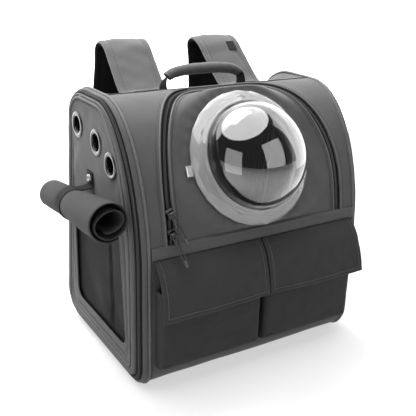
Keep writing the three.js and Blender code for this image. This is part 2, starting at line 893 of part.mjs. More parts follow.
// The left window's cover is rolled up: a loose spiral that narrows towards its back end.
const rollAxisX = -(sideFace + rollFrontRadius + 1.2);
function rollSection(radius) {
  const steps = 22;
  const start = radians(20);
  const face = (lift) =>
    Array.from({ length: steps + 1 }, (_, i) => {
      const t = i / steps;
      const angle = start - t * rollTurns * 2 * Math.PI;
      const r = radius * (1 - 0.42 * t) - lift;
      return [r * Math.cos(angle), r * Math.sin(angle) * (1 - 0.08 * t)];
    });
  return [...face(0), ...face(rollWall).reverse()];
}

function rolledCover() {
  const stations = [
    { at: 0, radius: rollFrontRadius },
    { at: 0.25, radius: rollFrontRadius - 2.5 },
    { at: 0.6, radius: (rollFrontRadius + rollBackRadius) / 2 - 2 },
    { at: 1, radius: rollBackRadius },
  ];
  return loft(
    stations.map(({ at, radius }) => {
      const y = rollFront + (rollBack - rollFront) * at;
      const z = rollFrontHeight + (rollBackHeight - rollFrontHeight) * at;
      return rollSection(radius).map(([x, up]) => [rollAxisX + x, y, z + up]);
    }),
  );
}

// A flat tape of a given width along a route of [x, y, z] points, with its width along one axis.
function tape(route, width, wall, across) {
  const points = route.map((p) => new THREE.Vector3(...p));
  return loft(
    points.map((p, i) => {
      const a = points[Math.max(0, i - 1)];
      const b = points[Math.min(points.length - 1, i + 1)];
      const out = b.clone().sub(a).normalize().cross(across).normalize();
      return [
        [-1, -1],
        [1, -1],
        [1, 1],
        [-1, 1],
      ].map(([u, v]) =>
        p
          .clone()
          .addScaledVector(across, (u * width) / 2)
          .addScaledVector(out, (v * wall) / 2)
          .toArray(),
      );
    }),
  );
}

// The roll's strap leaves the panel under the snap, passes round the outside of the roll and ends
// at the panel below it.
const rollShare = (rollStrapY - rollFront) / (rollBack - rollFront);
const rollZ = rollFrontHeight + (rollBackHeight - rollFrontHeight) * rollShare;
const rollHug = (rollFrontRadius + rollBackRadius) / 2 + 1.6;
function rollStrap() {
  const near = -(sideFace + seamGap + rollStrapWall / 2);
  const route = [
    [near, snapHeight + 9],
    [near, snapHeight - 5],
  ];
  const steps = 12;
  for (let i = 0; i <= steps; i++) {
    const t = radians(78 + (190 * i) / steps);
    route.push([rollAxisX + rollHug * Math.cos(t), rollZ + rollHug * Math.sin(t)]);
  }
  route.push([near - 1, rollZ - rollHug - 3], [near, rollZ - rollHug - 15]);
  const across = new THREE.Vector3(0, 1, 0);
  return tape(
    route.map(([x, z]) => [x, rollStrapY, z]),
    rollStrapWidth,
    rollStrapWall,
    across,
  );
}

// A snap is a domed metal button on the strap.
function snap() {
  const section = [
    [0, 0],
    [snapRadius, 0],
    [snapRadius, 1],
    [snapRadius - 2, 2.2],
    [0, 2.6],
  ];
  const button = lathe(section, 14).rotateZ(Math.PI / 2);
  return button.translate(-(sideFace + rollStrapWall + 2 * seamGap), rollStrapY, snapHeight + 2);
}

add("left_rolled_cover", rolledCover(), "darkCloth");
add("left_cover_strap", rollStrap(), "webbing");
add("left_cover_snap", snap(), "metal");

// The right window's cover hangs flat over its net.
function flatCover() {
  const shape = rectangle(windowFront - 2, windowBack + 3, windowFoot - 6, windowTop + 8);
  return plateAlongX(shape, clothWall).translate(sideFace + seamGap, 0, 0);
}
add("right_flat_cover", flatCover(), "darkCloth");

// The handle: two tapes that rise from the top panel, and a padded grip between them.
const crestLength = lengthAt("archStart", "backStart", 0, handleY);
function topAt(x, lift) {
  return onBag(x, crestLength, lift);
}
const handleFootZ = topAt(handleHalf, 0).z;
function handlePoint(u) {
  const x = handleHalf * Math.sin((u * Math.PI) / 2) * 1.04;
  const z = handleFootZ + handleLift * Math.sqrt(Math.max(0, 1 - Math.abs(u) ** 2.6));
  return new THREE.Vector3(x, handleY, z);
}

function grip() {
  const steps = 12;
  const sides = 10;
  return loft(
    Array.from({ length: steps + 1 }, (_, i) => {
      const u = gripShare * (-1 + (2 * i) / steps);
      const ease = 1 - 0.18 * Math.abs(u) ** 3;
      const p = handlePoint(u);
      const dir = handlePoint(u + 0.02).sub(handlePoint(u - 0.02)).normalize();
      const over = new THREE.Vector3(0, 1, 0);
      const up = over.clone().cross(dir).normalize();
      return Array.from({ length: sides }, (_, k) => {
        const t = (k / sides) * 2 * Math.PI;
        return p
          .clone()
          .addScaledVector(over, gripRadius * 1.15 * ease * Math.cos(t))
          .addScaledVector(up, gripRadius * ease * Math.sin(t))
          .toArray();
      });
    }),
  );
}

function handleEnd(side) {
  const inside = gripShare + 0.055;
  const route = [inside, 0.85, 0.93, 0.985].map((u) => handlePoint(side * u));
  const lie = seamGap + tapeWall / 2 + 1.9;
  route.push(topAt(side * handleHalf, lie).add(new THREE.Vector3(side * 2.2, 0, 3)));
  route.push(topAt(side * (handleHalf + 8), lie));
  route.push(topAt(side * (handleHalf + 20), lie));
  const middle = side * (handleHalf + 12);
  const across = onBag(middle, crestLength + 10, 0).sub(onBag(middle, crestLength - 10, 0)).normalize();
  return tape(
    route.map((p) => p.toArray()),
    handleTape,
    tapeWall,
    across,
  );
}

add("handle_grip", grip(), "cloth");
add("handle_left_tape", handleEnd(-1), "webbing");
add("handle_right_tape", handleEnd(1), "webbing");

// A shoulder strap: padded, sewn to the top panel, up over its apex and down behind the back.
// Rows give the height, and how far behind the foot of the back the strap's middle line lies.
const apexZ = bodyHeight + strapApexRise;
const strapBack = back + strapGap - backLean * 0.5;
function strapRoute() {
  const s = lengthAt("archStart", "backStart", 0, strapFootY);
  const lift = seamGap + strapWall / 2 + 1.5;
  const first = onBag(strapX + strapWidth / 2, s, lift);
  const second = onBag(strapX + strapWidth / 2, s + 12, lift);
  const apexY = back + strapApexBack;
  return [
    [first.y, first.z],
    [second.y, second.z],
    [apexY - 34, apexZ - 22],
    [apexY - 15, apexZ - 5],
    [apexY, apexZ],
    [apexY + 13, apexZ - 7],
    [strapBack, apexZ - 31],
    [strapBack + 3, apexZ - 80],
    [strapBack + 1, (apexZ + padEnd) / 2],
    [strapBack, padEnd + 50],
    [strapBack - 1, padEnd],
  ];
}

function strapAt(z) {
  const share = Math.min(1, Math.max(0, (apexZ - z) / (apexZ - webFoot)));
  return strapX + (strapFootX - strapX) * share;
}

function shoulderStrap(side) {
  const across = new THREE.Vector3(1, 0, 0);
  const route = strapRoute().map(([y, z]) => new THREE.Vector3(side * strapAt(z), y, z));
  return loft(
    route.map((p, i) => {
      const a = route[Math.max(0, i - 1)];
      const b = route[Math.min(route.length - 1, i + 1)];
      const out = across.clone().cross(b.clone().sub(a).normalize()).normalize();
      return [
        [-1, -0.35],
        [-0.86, -1],
        [0.86, -1],
        [1, -0.35],
        [1, 0.35],
        [0.86, 1],
        [-0.86, 1],
        [-1, 0.35],
      ].map(([u, v]) =>
        p
          .clone()
          .addScaledVector(across, (u * strapWidth) / 2)
          .addScaledVector(out, (v * strapWall) / 2)
          .toArray(),
      );
    }),
  );
}

// A small bare label is sewn to the right strap, on its outer edge below the apex.
function strapLabel() {
  const [a, b] = strapRoute().slice(2, 4);
  const [y, z] = [a[0] + (b[0] - a[0]) * 0.55, a[1] + (b[1] - a[1]) * 0.55];
  const rise = Math.atan2(b[1] - a[1], b[0] - a[0]);
  const patch = new THREE.BoxGeometry(13, 16, 0.8).translate(0, 0, strapWall / 2 + seamGap + 0.4);
  return patch.rotateX(rise).translate(strapX + strapWidth / 2 - 17, y, z);
}
add("strap_label", strapLabel(), "webbing");

// Webbing runs from the padded strap, through its adjuster, to the foot of the back panel.
const adjusterZ = padEnd - 24;
function backAt(z, lift) {
  const [y] = onProfile(lengthAt("backStart", "heelStart", 1, z), lift);
  return y;
}
function webRoute() {
  const lie = seamGap + webWall / 2 + 0.3;
  return [
    [strapBack - 1, padEnd - seamGap],
    [strapBack - 2, adjusterZ + 10],
    [strapBack - 2, adjusterZ - 10],
    [backAt(webFoot + 22, lie + 7), webFoot + 22],
    [backAt(webFoot + 6, lie), webFoot + 6],
    [backAt(webFoot - 10, lie), webFoot - 10],
  ];
}

function webbing(side) {
  const across = new THREE.Vector3(1, 0, 0);
  return tape(
    webRoute().map(([y, z]) => [side * strapAt(z), y, z]),
    webWidth,
    webWall,
    across,
  );
}

// The adjuster is a plastic frame with one slot that the webbing passes through.
function adjuster(side) {
  const half = webWidth / 2 + 0.8;
  const shape = rectangle(-half - 4, half + 4, -6, 6);
  const slot = rectangle(-half, half, -1.9, 1.9).getPoints().reverse();
  shape.holes.push(new THREE.Path(slot));
  const frame = new THREE.ExtrudeGeometry(shape, { depth: 12, bevelEnabled: false });
  return frame.translate(side * strapAt(adjusterZ), strapBack - 2, adjusterZ - 6);
}

for (const [name, side] of [
  ["left", -1],
  ["right", 1],
]) {
  add(`${name}_shoulder_strap`, shoulderStrap(side), "cloth");
  add(`${name}_strap_webbing`, webbing(side), "webbing");
  add(`${name}_strap_adjuster`, adjuster(side), "plastic");
}

// A slider rides on the door zipper's chain: a block with two cheeks that hold a pin.
const chainOut = chainRise - 0.55 + seamGap;
const pinOut = chainOut + 5.2;
const pinX = -(doorHalfWidth + seamGap + zipperTape / 2);
function pinPlace(z) {
  const s = lengthAt("footEnd", "crest", 1, z);
  const [y0, z0] = onProfile(s, pinOut);
  const [y1, z1] = onProfile(s, pinOut + 1);
  const out = new THREE.Vector3(0, y1 - y0, z1 - z0).normalize();
  return { centre: new THREE.Vector3(pinX, y0, z0), out };
}

// The frame of a slider: its first axis along the pin, its second down, its third into the bag. The
// pull's frame also swings out round the pin.
function pullFrame({ z, lean, swing }, swings) {
  const { centre, out } = pinPlace(z);
  const pin = new THREE.Vector3(1, 0, 0).applyAxisAngle(out, radians(lean));
  const down = pin.clone().cross(out).normalize();
  if (swings) down.applyAxisAngle(pin, radians(-swing));
  return new THREE.Matrix4().makeBasis(pin, down, pin.clone().cross(down)).setPosition(centre);
}

function box(width, length, height, x, y, z) {
  return solid(new THREE.BoxGeometry(width, length, height).translate(x, y, z));
}

function rod(radius, length) {
  return solid(new THREE.CylinderGeometry(radius, radius, length, 10).rotateZ(Math.PI / 2));
}

function slider(place) {
  const cheek = pullWidth / 2 + pinClearance + 0.6;
  const depth = pinOut - chainOut;
  const made = box(8.5, 12, 2.4, 0, 0, depth - 1.2)
    .add(box(1.2, 5, depth + 0.4, cheek, 0, depth / 2 - 0.6))
    .add(box(1.2, 5, depth + 0.4, -cheek, 0, depth / 2 - 0.6))
    .add(rod(pinRadius, 2 * cheek));
  return geometryFrom(made).applyMatrix4(pullFrame(place, false));
}

// A pull is a slotted plate with a knuckle round the slider's pin.
function pull(place) {
  const knuckle = pinRadius + pinClearance + 1;
  const reach = pullLength / 2 + 0.5;
  const made = rod(knuckle, pullWidth)
    .add(box(pullWidth, pullLength, pullWall, 0, reach, 0))
    .subtract(rod(pinRadius + pinClearance, pullWidth + 2))
    .subtract(box(pullWidth - 3, pullLength - 14, pullWall + 2, 0, reach + 2.5, 0));
  return geometryFrom(made).applyMatrix4(pullFrame(place, true));
}

pulls.forEach((place) => {
  add(`${place.name}_slider`, slider(place), "metal");
  add(`${place.name}_pull`, pull(place), "metal");
});

export default bag;
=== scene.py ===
"""Visual model of a boxy cloth pet carrier backpack with an arched door and a clear bubble window.

Lengths are in millimetres in the bag's own frame: +Z up, the front faces -Y, and the origin is the middle
of the base on the floor. They become metres when a mesh is made. Each sub-assembly is a class that holds its
sizes, works its surfaces out as numpy arrays and dresses them with a finish.
"""

from __future__ import annotations

import json
import logging
import math
from dataclasses import dataclass, field
from enum import Enum
from typing import Any, Optional, Sequence

import bmesh
import bpy
import numpy as np
from mathutils import Matrix, Vector

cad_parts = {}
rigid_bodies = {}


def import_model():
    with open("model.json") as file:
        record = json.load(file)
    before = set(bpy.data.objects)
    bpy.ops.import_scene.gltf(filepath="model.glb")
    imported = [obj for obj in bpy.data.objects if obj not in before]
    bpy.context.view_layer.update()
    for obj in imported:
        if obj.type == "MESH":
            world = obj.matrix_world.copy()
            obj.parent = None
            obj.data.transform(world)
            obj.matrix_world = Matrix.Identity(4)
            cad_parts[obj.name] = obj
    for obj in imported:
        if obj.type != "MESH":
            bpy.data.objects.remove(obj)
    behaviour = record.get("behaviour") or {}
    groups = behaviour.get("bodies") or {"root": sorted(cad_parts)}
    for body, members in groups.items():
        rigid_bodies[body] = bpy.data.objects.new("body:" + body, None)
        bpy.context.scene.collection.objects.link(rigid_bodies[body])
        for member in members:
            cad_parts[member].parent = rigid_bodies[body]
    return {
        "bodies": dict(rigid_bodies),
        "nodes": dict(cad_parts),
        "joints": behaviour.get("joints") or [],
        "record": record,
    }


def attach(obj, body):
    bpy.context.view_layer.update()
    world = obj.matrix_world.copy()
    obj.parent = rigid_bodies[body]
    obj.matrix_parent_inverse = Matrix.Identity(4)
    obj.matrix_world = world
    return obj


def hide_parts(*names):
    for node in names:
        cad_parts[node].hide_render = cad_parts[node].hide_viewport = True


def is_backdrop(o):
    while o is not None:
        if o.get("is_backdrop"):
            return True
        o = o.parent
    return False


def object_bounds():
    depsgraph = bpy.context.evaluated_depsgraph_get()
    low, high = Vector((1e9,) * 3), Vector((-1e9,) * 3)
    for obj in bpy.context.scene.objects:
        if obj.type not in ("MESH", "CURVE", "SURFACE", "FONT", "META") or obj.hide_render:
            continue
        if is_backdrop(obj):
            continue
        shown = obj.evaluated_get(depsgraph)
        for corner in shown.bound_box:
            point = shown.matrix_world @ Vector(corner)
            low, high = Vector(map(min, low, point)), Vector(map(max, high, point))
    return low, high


LOG = logging.getLogger("carrier")
MM = 0.001
Array = np.ndarray
BAG = "bag"


class Facing(Enum):
    """Which way a mesh's faces are turned when it is made."""

    AWAY = "away from the middle of the bag"
    SOLID = "out of the closed form itself"
    UP = "up"


class Side(Enum):
    """Left and right as seen from the front, with the sign of X."""

    LEFT = -1
    RIGHT = 1

    @property
    def word(self) -> str:
        """The side's name in a piece or node name."""
        return self.name.lower()



def smooth(t: Array) -> Array:
    """Eases from 0 to 1: 3 t squared less 2 t cubed, held at its ends."""
    c = np.clip(t, 0.0, 1.0)
    return c * c * (3.0 - 2.0 * c)


def unit(v: Array) -> Array:
    """Vectors along the last axis, each divided by its length."""
    return v / np.maximum(np.linalg.norm(v, axis=-1, keepdims=True), 1e-9)


def ripple(x: Array, y: Array, scale: float, seed: int) -> Array:
    """Soft unevenness of cloth: the mean of nine sine waves of seeded directions and lengths near scale.

    Args:
        x: First coordinate.
        y: Second coordinate, the same shape.
        scale: Typical wave length, in the coordinates' unit.
        seed: Number that fixes the waves.

    Returns:
        Values of about -1 to 1, the shape of x.
    """
    rng = np.random.default_rng(seed)
    total = np.zeros(np.broadcast(x, y).shape)
    for _ in range(9):
        turn, phase = rng.uniform(0, 2 * np.pi, 2)
        wave = 2 * np.pi / (scale * rng.uniform(0.6, 1.7))
        total += np.sin(wave * (x * np.cos(turn) + y * np.sin(turn)) + phase)
    return total / 4.0


def resample(points: Array, count: int) -> Array:
    """Points at even steps of arc length along a polyline."""
    steps = np.linalg.norm(np.diff(points, axis=0), axis=1)
    at = np.concatenate([[0.0], np.cumsum(steps)])
    want = np.linspace(0.0, at[-1], count)
    return np.stack([np.interp(want, at, points[:, k]) for k in range(points.shape[1])], -1)


def spline(points: Sequence[Sequence[float]], count: int) -> Array:
    """A smooth curve through points: centripetal Catmull-Rom, resampled to even steps.

    Args:
        points: Points to pass through.
        count: Number of points wanted.

    Returns:
        Array of count points.
    """
    p = np.asarray(points, float)
    p = np.concatenate([[2 * p[0] - p[1]], p, [2 * p[-1] - p[-2]]])
    knots = np.concatenate([[0.0], np.cumsum(np.linalg.norm(np.diff(p, axis=0), axis=1) ** 0.5)])
    out = []
    for i in range(1, len(p) - 2):
        t0, t1, t2, t3 = knots[i - 1 : i + 3]
        t = np.linspace(t1, t2, 24, endpoint=False)[:, None]
        a1 = (t1 - t) / (t1 - t0) * p[i - 1] + (t - t0) / (t1 - t0) * p[i]
        a2 = (t2 - t) / (t2 - t1) * p[i] + (t - t1) / (t2 - t1) * p[i + 1]
        a3 = (t3 - t) / (t3 - t2) * p[i + 1] + (t - t2) / (t3 - t2) * p[i + 2]
        b1 = (t2 - t) / (t2 - t0) * a1 + (t - t0) / (t2 - t0) * a2
        b2 = (t3 - t) / (t3 - t1) * a2 + (t - t1) / (t3 - t1) * a3
        out.append((t2 - t) / (t2 - t1) * b1 + (t - t1) / (t2 - t1) * b2)
    out.append(p[-2:-1])
    return resample(np.concatenate(out), count)


def tangents(path: Array, closed: bool = False) -> Array:
    """Unit directions along a path, from each point's two neighbours.

    Args:
        path: (N, 3) points.
        closed: Whether the path closes on itself.

    Returns:
        (N, 3) directions.
    """
    if closed:
        return unit(np.roll(path, -1, axis=0) - np.roll(path, 1, axis=0))
    return unit(np.gradient(path, axis=0))


def sweep(path: Array, up: Array, section: Array, closed: bool = False) -> Array:
    """Carries a section along a path.

    The section's second axis follows up, made square to the path, and its first axis the cross product of
    the path's direction with it.

    Args:
        path: (N, 3) points.
        up: (N, 3) or (3,) directions.
        section: (K, 2) or (N, K, 2) points.
        closed: Whether the path closes on itself.

    Returns:
        (N, K, 3) grid.
    """
    along = tangents(path, closed)
    up = np.broadcast_to(np.asarray(up, float), path.shape)
    over = unit(np.cross(along, up))
    rise = np.cross(over, along)
    section = np.broadcast_to(section, (len(path),) + section.shape[-2:])
    return path[:, None] + section[..., :1] * over[:, None] + section[..., 1:] * rise[:, None]


def ellipse(rx: float, ry: float, count: int, power: float = 1.0) -> Array:
    """A closed oval section; a power under 1 squares its corners.

    Args:
        rx: Half its width.
        ry: Half its height.
        count: Number of points.
        power: 1 for an ellipse.

    Returns:
        (count, 2) points.
    """
    t = np.linspace(0, 2 * np.pi, count, endpoint=False)
    c, s = np.cos(t), np.sin(t)
    return np.stack([rx * np.sign(c) * np.abs(c) ** power, ry * np.sign(s) * np.abs(s) ** power], -1)


def chain(*parts: Array) -> Array:
    """Joins polylines end to end.

    Args:
        parts: Lists of points.

    Returns:
        All their points in one array.
    """
    return np.concatenate([np.asarray(p, float) for p in parts])


def dent(distance: Array, width: float) -> Array:
    """A rounded dent or ridge: 1 at distance 0, and falling away on both sides over a width.

    Args:
        distance: Distance from its middle.
        width: How far it reaches.

    Returns:
        Values of 0 to 1.
    """
    return np.exp(-((distance / width) ** 2))


def spread(
    low: tuple[float, float], high: tuple[float, float], counts: tuple[int, int]
) -> tuple[Array, Array]:
    """Two grids of places, evenly spread between two corners of a rectangle.

    Args:
        low: First corner.
        high: Second corner.
        counts: Number of places along each axis.

    Returns:
        The places' first and second coordinates.
    """
    return np.meshgrid(np.linspace(low[0], high[0], counts[0]), np.linspace(low[1], high[1], counts[1]))


def rim_distance(first: Array, second: Array) -> Array:
    """Distance of each place in a rectangular grid to the nearest edge of the rectangle.

    Args:
        first: First coordinates.
        second: Second coordinates.

    Returns:
        A distance for each place.
    """
    across = np.minimum(first - first.min(), first.max() - first)
    return np.minimum(across, np.minimum(second - second.min(), second.max() - second))


def reach_to(outline: Array, centre: Any, angle: Array) -> Array:
    """Distance from a centre to an outline round it.

    Args:
        outline: (N, 2) points of the outline.
        centre: The centre, as two numbers.
        angle: Directions in radians.

    Returns:
        A distance for each direction.
    """
    d = outline - np.asarray(centre, float)
    around = np.arctan2(d[:, 1], d[:, 0])
    order = np.argsort(around)
    turned = np.mod(angle + np.pi, 2 * np.pi) - np.pi
    return np.interp(turned, around[order], np.hypot(d[:, 0], d[:, 1])[order], period=2 * np.pi)



@dataclass
class Patch:
    """A grid of points with its wrapping, cut mask and finish.

    Attributes:
        points: (R, C, 3) grid.
        wrap_rows: Whether the last row joins the first.
        wrap_cols: Whether the last column joins the first.
        keep: Optional (R, C) mask of the cells that stay.
        finish: Index of the patch's material.
        caps: Whether the first and last rows are closed with a face.
        wear: Optional (R, C) rubbed or folded edge, 0 to 1.
    """

    points: Array
    wrap_rows: bool = False
    wrap_cols: bool = False
    keep: Optional[Array] = None
    finish: int = 0
    caps: bool = False
    wear: Optional[Array] = None

    def quads(self) -> tuple[Array, Array]:
        """The grid's faces.

        Returns:
            (F, 4) point numbers and (F, 4, 2) map places in metres.
        """
        rows, cols = self.points.shape[:2]
        r, c = np.meshgrid(
            np.arange(rows if self.wrap_rows else rows - 1),
            np.arange(cols if self.wrap_cols else cols - 1),
            indexing="ij",
        )
        r, c = r.ravel(), c.ravel()
        if self.keep is not None:
            stays = self.keep[r, c]
            r, c = r[stays], c[stays]
        r1, c1 = (r + 1) % rows, (c + 1) % cols
        faces = np.stack([r * cols + c, r * cols + c1, r1 * cols + c1, r1 * cols + c], -1)
        down = self._run(0)
        over = self._run(1)
        places = np.stack(
            [
                np.stack([over[c], down[r]], -1),
                np.stack([over[c + 1], down[r]], -1),
                np.stack([over[c + 1], down[r + 1]], -1),
                np.stack([over[c], down[r + 1]], -1),
            ],
            1,
        )
        return faces, places * MM

    def _run(self, axis: int) -> Array:
        """Mean length along one axis of the grid, with one more step for a wrapped one."""
        turned = np.concatenate([self.points, self.points.take([0], axis)], axis)
        steps = np.linalg.norm(np.diff(turned, axis=axis), axis=2).mean(1 - axis)
        return np.concatenate([[0.0], np.cumsum(steps)])


class Workshop:
    """Makes pieces from patches and books them with the frame."""

    def __init__(self) -> None:
        """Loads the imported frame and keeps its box."""
        self.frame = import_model()
        self.cad_box = self._box()
        self.count = 0

    @staticmethod
    def _box() -> list[list[float]]:
        """The whole object's box as plain numbers."""
        low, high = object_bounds()
        return [[float(v) for v in low], [float(v) for v in high]]

    def piece(
        self,
        name: str,
        patches: Sequence[Patch],
        finishes: Sequence[bpy.types.Material],
        slot: str,
        replaces: Sequence[str] = (),
        body: str = BAG,
        wall: float = 0.0,
        facing: Facing = Facing.SOLID,
        sharp: float = 40.0,
        bevel: float = 0.0,
    ) -> bpy.types.Object:
        """Makes one mesh object of patches, gives it a wall, and books it.

        Args:
            name: The piece's name.
            patches: Its grids.
            finishes: Its materials, by the patches' finish numbers.
            slot: The record's material slot.
            replaces: CAD nodes that it stands for.
            body: CAD body that it rides on.
            wall: Thickness that Solidify gives it, inwards.
            facing: Which way its faces turn.
            sharp: Angle in degrees above which edges stay sharp.
            bevel: Width of a Bevel modifier, or 0.

        Returns:
            The object.
        """
        points, faces, places, slots, worn = [], [], [], [], []
        ends: list[tuple[list[int], int]] = []
        start = 0
        for patch in patches:
            quads, uv = patch.quads()
            rows, cols = patch.points.shape[:2]
            quads = quads + start
            flat = patch.points.reshape(-1, 3)
            if self._inwards(flat, quads - start, facing, patch.caps):
                quads, uv = quads[:, ::-1], uv[:, ::-1]
                turned = True
            else:
                turned = False
            if patch.caps:
                first = list(range(start, start + cols))
                last = list(range(start + (rows - 1) * cols, start + rows * cols))
                ends.append((first if turned else first[::-1], patch.finish))
                ends.append((last[::-1] if turned else last, patch.finish))
            points.append(flat)
            faces.append(quads)
            places.append(uv.reshape(-1, 2))
            slots.append(np.full(len(quads), patch.finish))
            worn.append(np.zeros(len(flat)) if patch.wear is None else patch.wear.ravel())
            start += len(flat)
        mesh = bpy.data.meshes.new(name)
        polygons = np.concatenate(faces).tolist() + [end for end, _ in ends]
        mesh.from_pydata((np.concatenate(points) * MM).tolist(), [], polygons)
        layer = mesh.uv_layers.new(name="UVMap")
        used = np.concatenate(places)
        total = sum(len(end) for end, _ in ends)
        used = np.concatenate([used, np.zeros((total, 2))])
        layer.data.foreach_set("uv", used.astype(np.float32).ravel())
        mesh.attributes.new("wear", "FLOAT", "POINT").data.foreach_set(
            "value", np.concatenate(worn).astype(np.float32)
        )
        for material in finishes:
            mesh.materials.append(material)
        numbers = np.concatenate(slots + [np.array([k for _, k in ends], int)])
        mesh.polygons.foreach_set("material_index", numbers.astype(np.int32))
        mesh.polygons.foreach_set("use_smooth", np.ones(len(polygons), bool))
        mesh.update(calc_edges=True)
        self._drop_loose(mesh)
        mesh.set_sharp_from_angle(angle=math.radians(sharp))
        made = bpy.data.objects.new(name, mesh)
        bpy.context.scene.collection.objects.link(made)
        if wall:
            thick = made.modifiers.new("wall", "SOLIDIFY")
            thick.thickness = wall * MM
            thick.offset = -1.0
            thick.use_quality_normals = True
            if len(finishes) > 1:
                thick.material_offset = 1
        if bevel:
            edge = made.modifiers.new("edge", "BEVEL")
            edge.width = bevel * MM
            edge.segments = 2
            edge.limit_method = "ANGLE"
            edge.angle_limit = math.radians(35)
        return self.book(made, slot, replaces, body)

    def book(
        self, made: bpy.types.Object, slot: str, replaces: Sequence[str] = (), body: str = BAG
    ) -> bpy.types.Object:
        """Books an object with the frame: its body and the nodes it stands for.

        Args:
            made: The object.
            slot: The record's material slot; not used.
            replaces: CAD nodes that it stands for.
            body: CAD body that it rides on.

        Returns:
            The object.
        """
        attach(made, body)
        if replaces:
            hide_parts(*replaces)
        self.count += 1
        LOG.info("%s: %d points, rides on %s", made.name, len(made.data.vertices), body)
        return made

    def from_node(
        self, node: str, finish: bpy.types.Material, slot: str, bevel: float, body: str = BAG
    ) -> bpy.types.Object:
        """A merged copy of a hard CAD node with its edges rounded, which then stands for the node.

        Args:
            node: The node's name.
            finish: Its material.
            slot: The record's material slot.
            bevel: Width of the rounding.
            body: CAD body that it rides on.

        Returns:
            The object.
        """
        source = self.frame["nodes"][node]
        mesh = source.data.copy()
        made = bpy.data.objects.new(f"{node}_finished", mesh)
        bpy.context.scene.collection.objects.link(made)
        mesh.materials.clear()
        mesh.materials.append(finish)
        weld = made.modifiers.new("weld", "WELD")
        weld.merge_threshold = 0.00002
        edge = made.modifiers.new("edge", "BEVEL")
        edge.width = bevel * MM
        edge.segments = 3
        edge.limit_method = "ANGLE"
        edge.angle_limit = math.radians(38)
        return self.book(made, slot, (node,), body)

    @staticmethod
    def _drop_loose(mesh: bpy.types.Mesh) -> None:
        """Removes points that no face uses, such as those of cells cut away by a mask."""
        count = len(mesh.vertices)
        used = np.zeros(count, bool)
        numbers = np.empty(len(mesh.loops), np.int32)
        mesh.loops.foreach_get("vertex_index", numbers)
        used[numbers] = True
        if used.all():
            return
        work = bmesh.new()
        work.from_mesh(mesh)
        work.verts.ensure_lookup_table()
        bmesh.ops.delete(work, geom=[work.verts[int(i)] for i in np.flatnonzero(~used)], context="VERTS")
        work.to_mesh(mesh)
        work.free()

    @staticmethod
    def close_ends(made: bpy.types.Object) -> None:
        """Fills the open ends of a closed strip of cloth with faces between its two sides."""
        work = bmesh.new()
        work.from_mesh(made.data)
        bmesh.ops.holes_fill(work, edges=[e for e in work.edges if e.is_boundary], sides=0)
        bmesh.ops.recalc_face_normals(work, faces=work.faces)
        work.to_mesh(made.data)
        work.free()

    @staticmethod
    def _inwards(points: Array, quads: Array, facing: Facing, capped: bool) -> bool:
        """Whether faces point the wrong way.

        A closed form's faces are judged by the sign of its volume, a sheet's by the sum of the parts of
        their areas that point away from the middle of the bag, or up.
        """
        corner = points[quads]
        across = np.cross(corner[:, 2] - corner[:, 0], corner[:, 3] - corner[:, 1]) / 2
        middle = corner.mean(1)
        if facing is Facing.SOLID:
            return float((across * (middle - points.mean(0))).sum()) < 0
        if facing is Facing.UP:
            return float(across[:, 2].sum()) < 0
        return float((across * (middle - np.array([0.0, 0.0, 170.0]))).sum()) < 0



class Value:
    """A number socket on which Python arithmetic adds Math nodes."""

    def __init__(self, pen: "Pen", socket: bpy.types.NodeSocket) -> None:
        """Keeps the material's pen and the socket."""
        self.pen = pen
        self.socket = socket

    def _math(self, operation: str, *parts: Any) -> "Value":
        """A Math node of the given operation over the parts."""
        node = self.pen.add("ShaderNodeMath", {"operation": operation}, dict(enumerate(parts)))
        return Value(self.pen, node.outputs[0])

    def __add__(self, other: Any) -> "Value":
        """Sum."""
        return self._math("ADD", self, other)

    __radd__ = __add__

    def __sub__(self, other: Any) -> "Value":
        """Difference."""
        return self._math("SUBTRACT", self, other)

    def __rsub__(self, other: Any) -> "Value":
        """Difference, reflected."""
        return self._math("SUBTRACT", other, self)

    def __mul__(self, other: Any) -> "Value":
        """Product."""
        return self._math("MULTIPLY", self, other)

    __rmul__ = __mul__

    def __truediv__(self, other: Any) -> "Value":
        """Quotient."""
        return self._math("DIVIDE", self, other)

    def __rtruediv__(self, other: Any) -> "Value":
        """Quotient, reflected."""
        return self._math("DIVIDE", other, self)

    def __pow__(self, other: Any) -> "Value":
        """Power."""
        return self._math("POWER", self, other)

    def sine(self) -> "Value":
        """Sine, in radians."""
        return self._math("SINE", self)

    def size(self) -> "Value":
        """Absolute value."""
        return self._math("ABSOLUTE", self)

    def above(self, other: Any) -> "Value":
        """1 where it is greater than other, else 0."""
        return self._math("GREATER_THAN", self, other)

    def least(self, other: Any) -> "Value":
        """The smaller of two."""
        return self._math("MINIMUM", self, other)

    def most(self, other: Any) -> "Value":
        """The greater of two."""
        return self._math("MAXIMUM", self, other)

    def between(self, low: float, high: float) -> "Value":
        """Smooth share of the way from low to high."""
        node = self.pen.add(
            "ShaderNodeMapRange",
            {"interpolation_type": "SMOOTHSTEP"},
            {"Value": self, "From Min": low, "From Max": high, "To Min": 0.0, "To Max": 1.0},
        )
        return Value(self.pen, node.outputs[0])


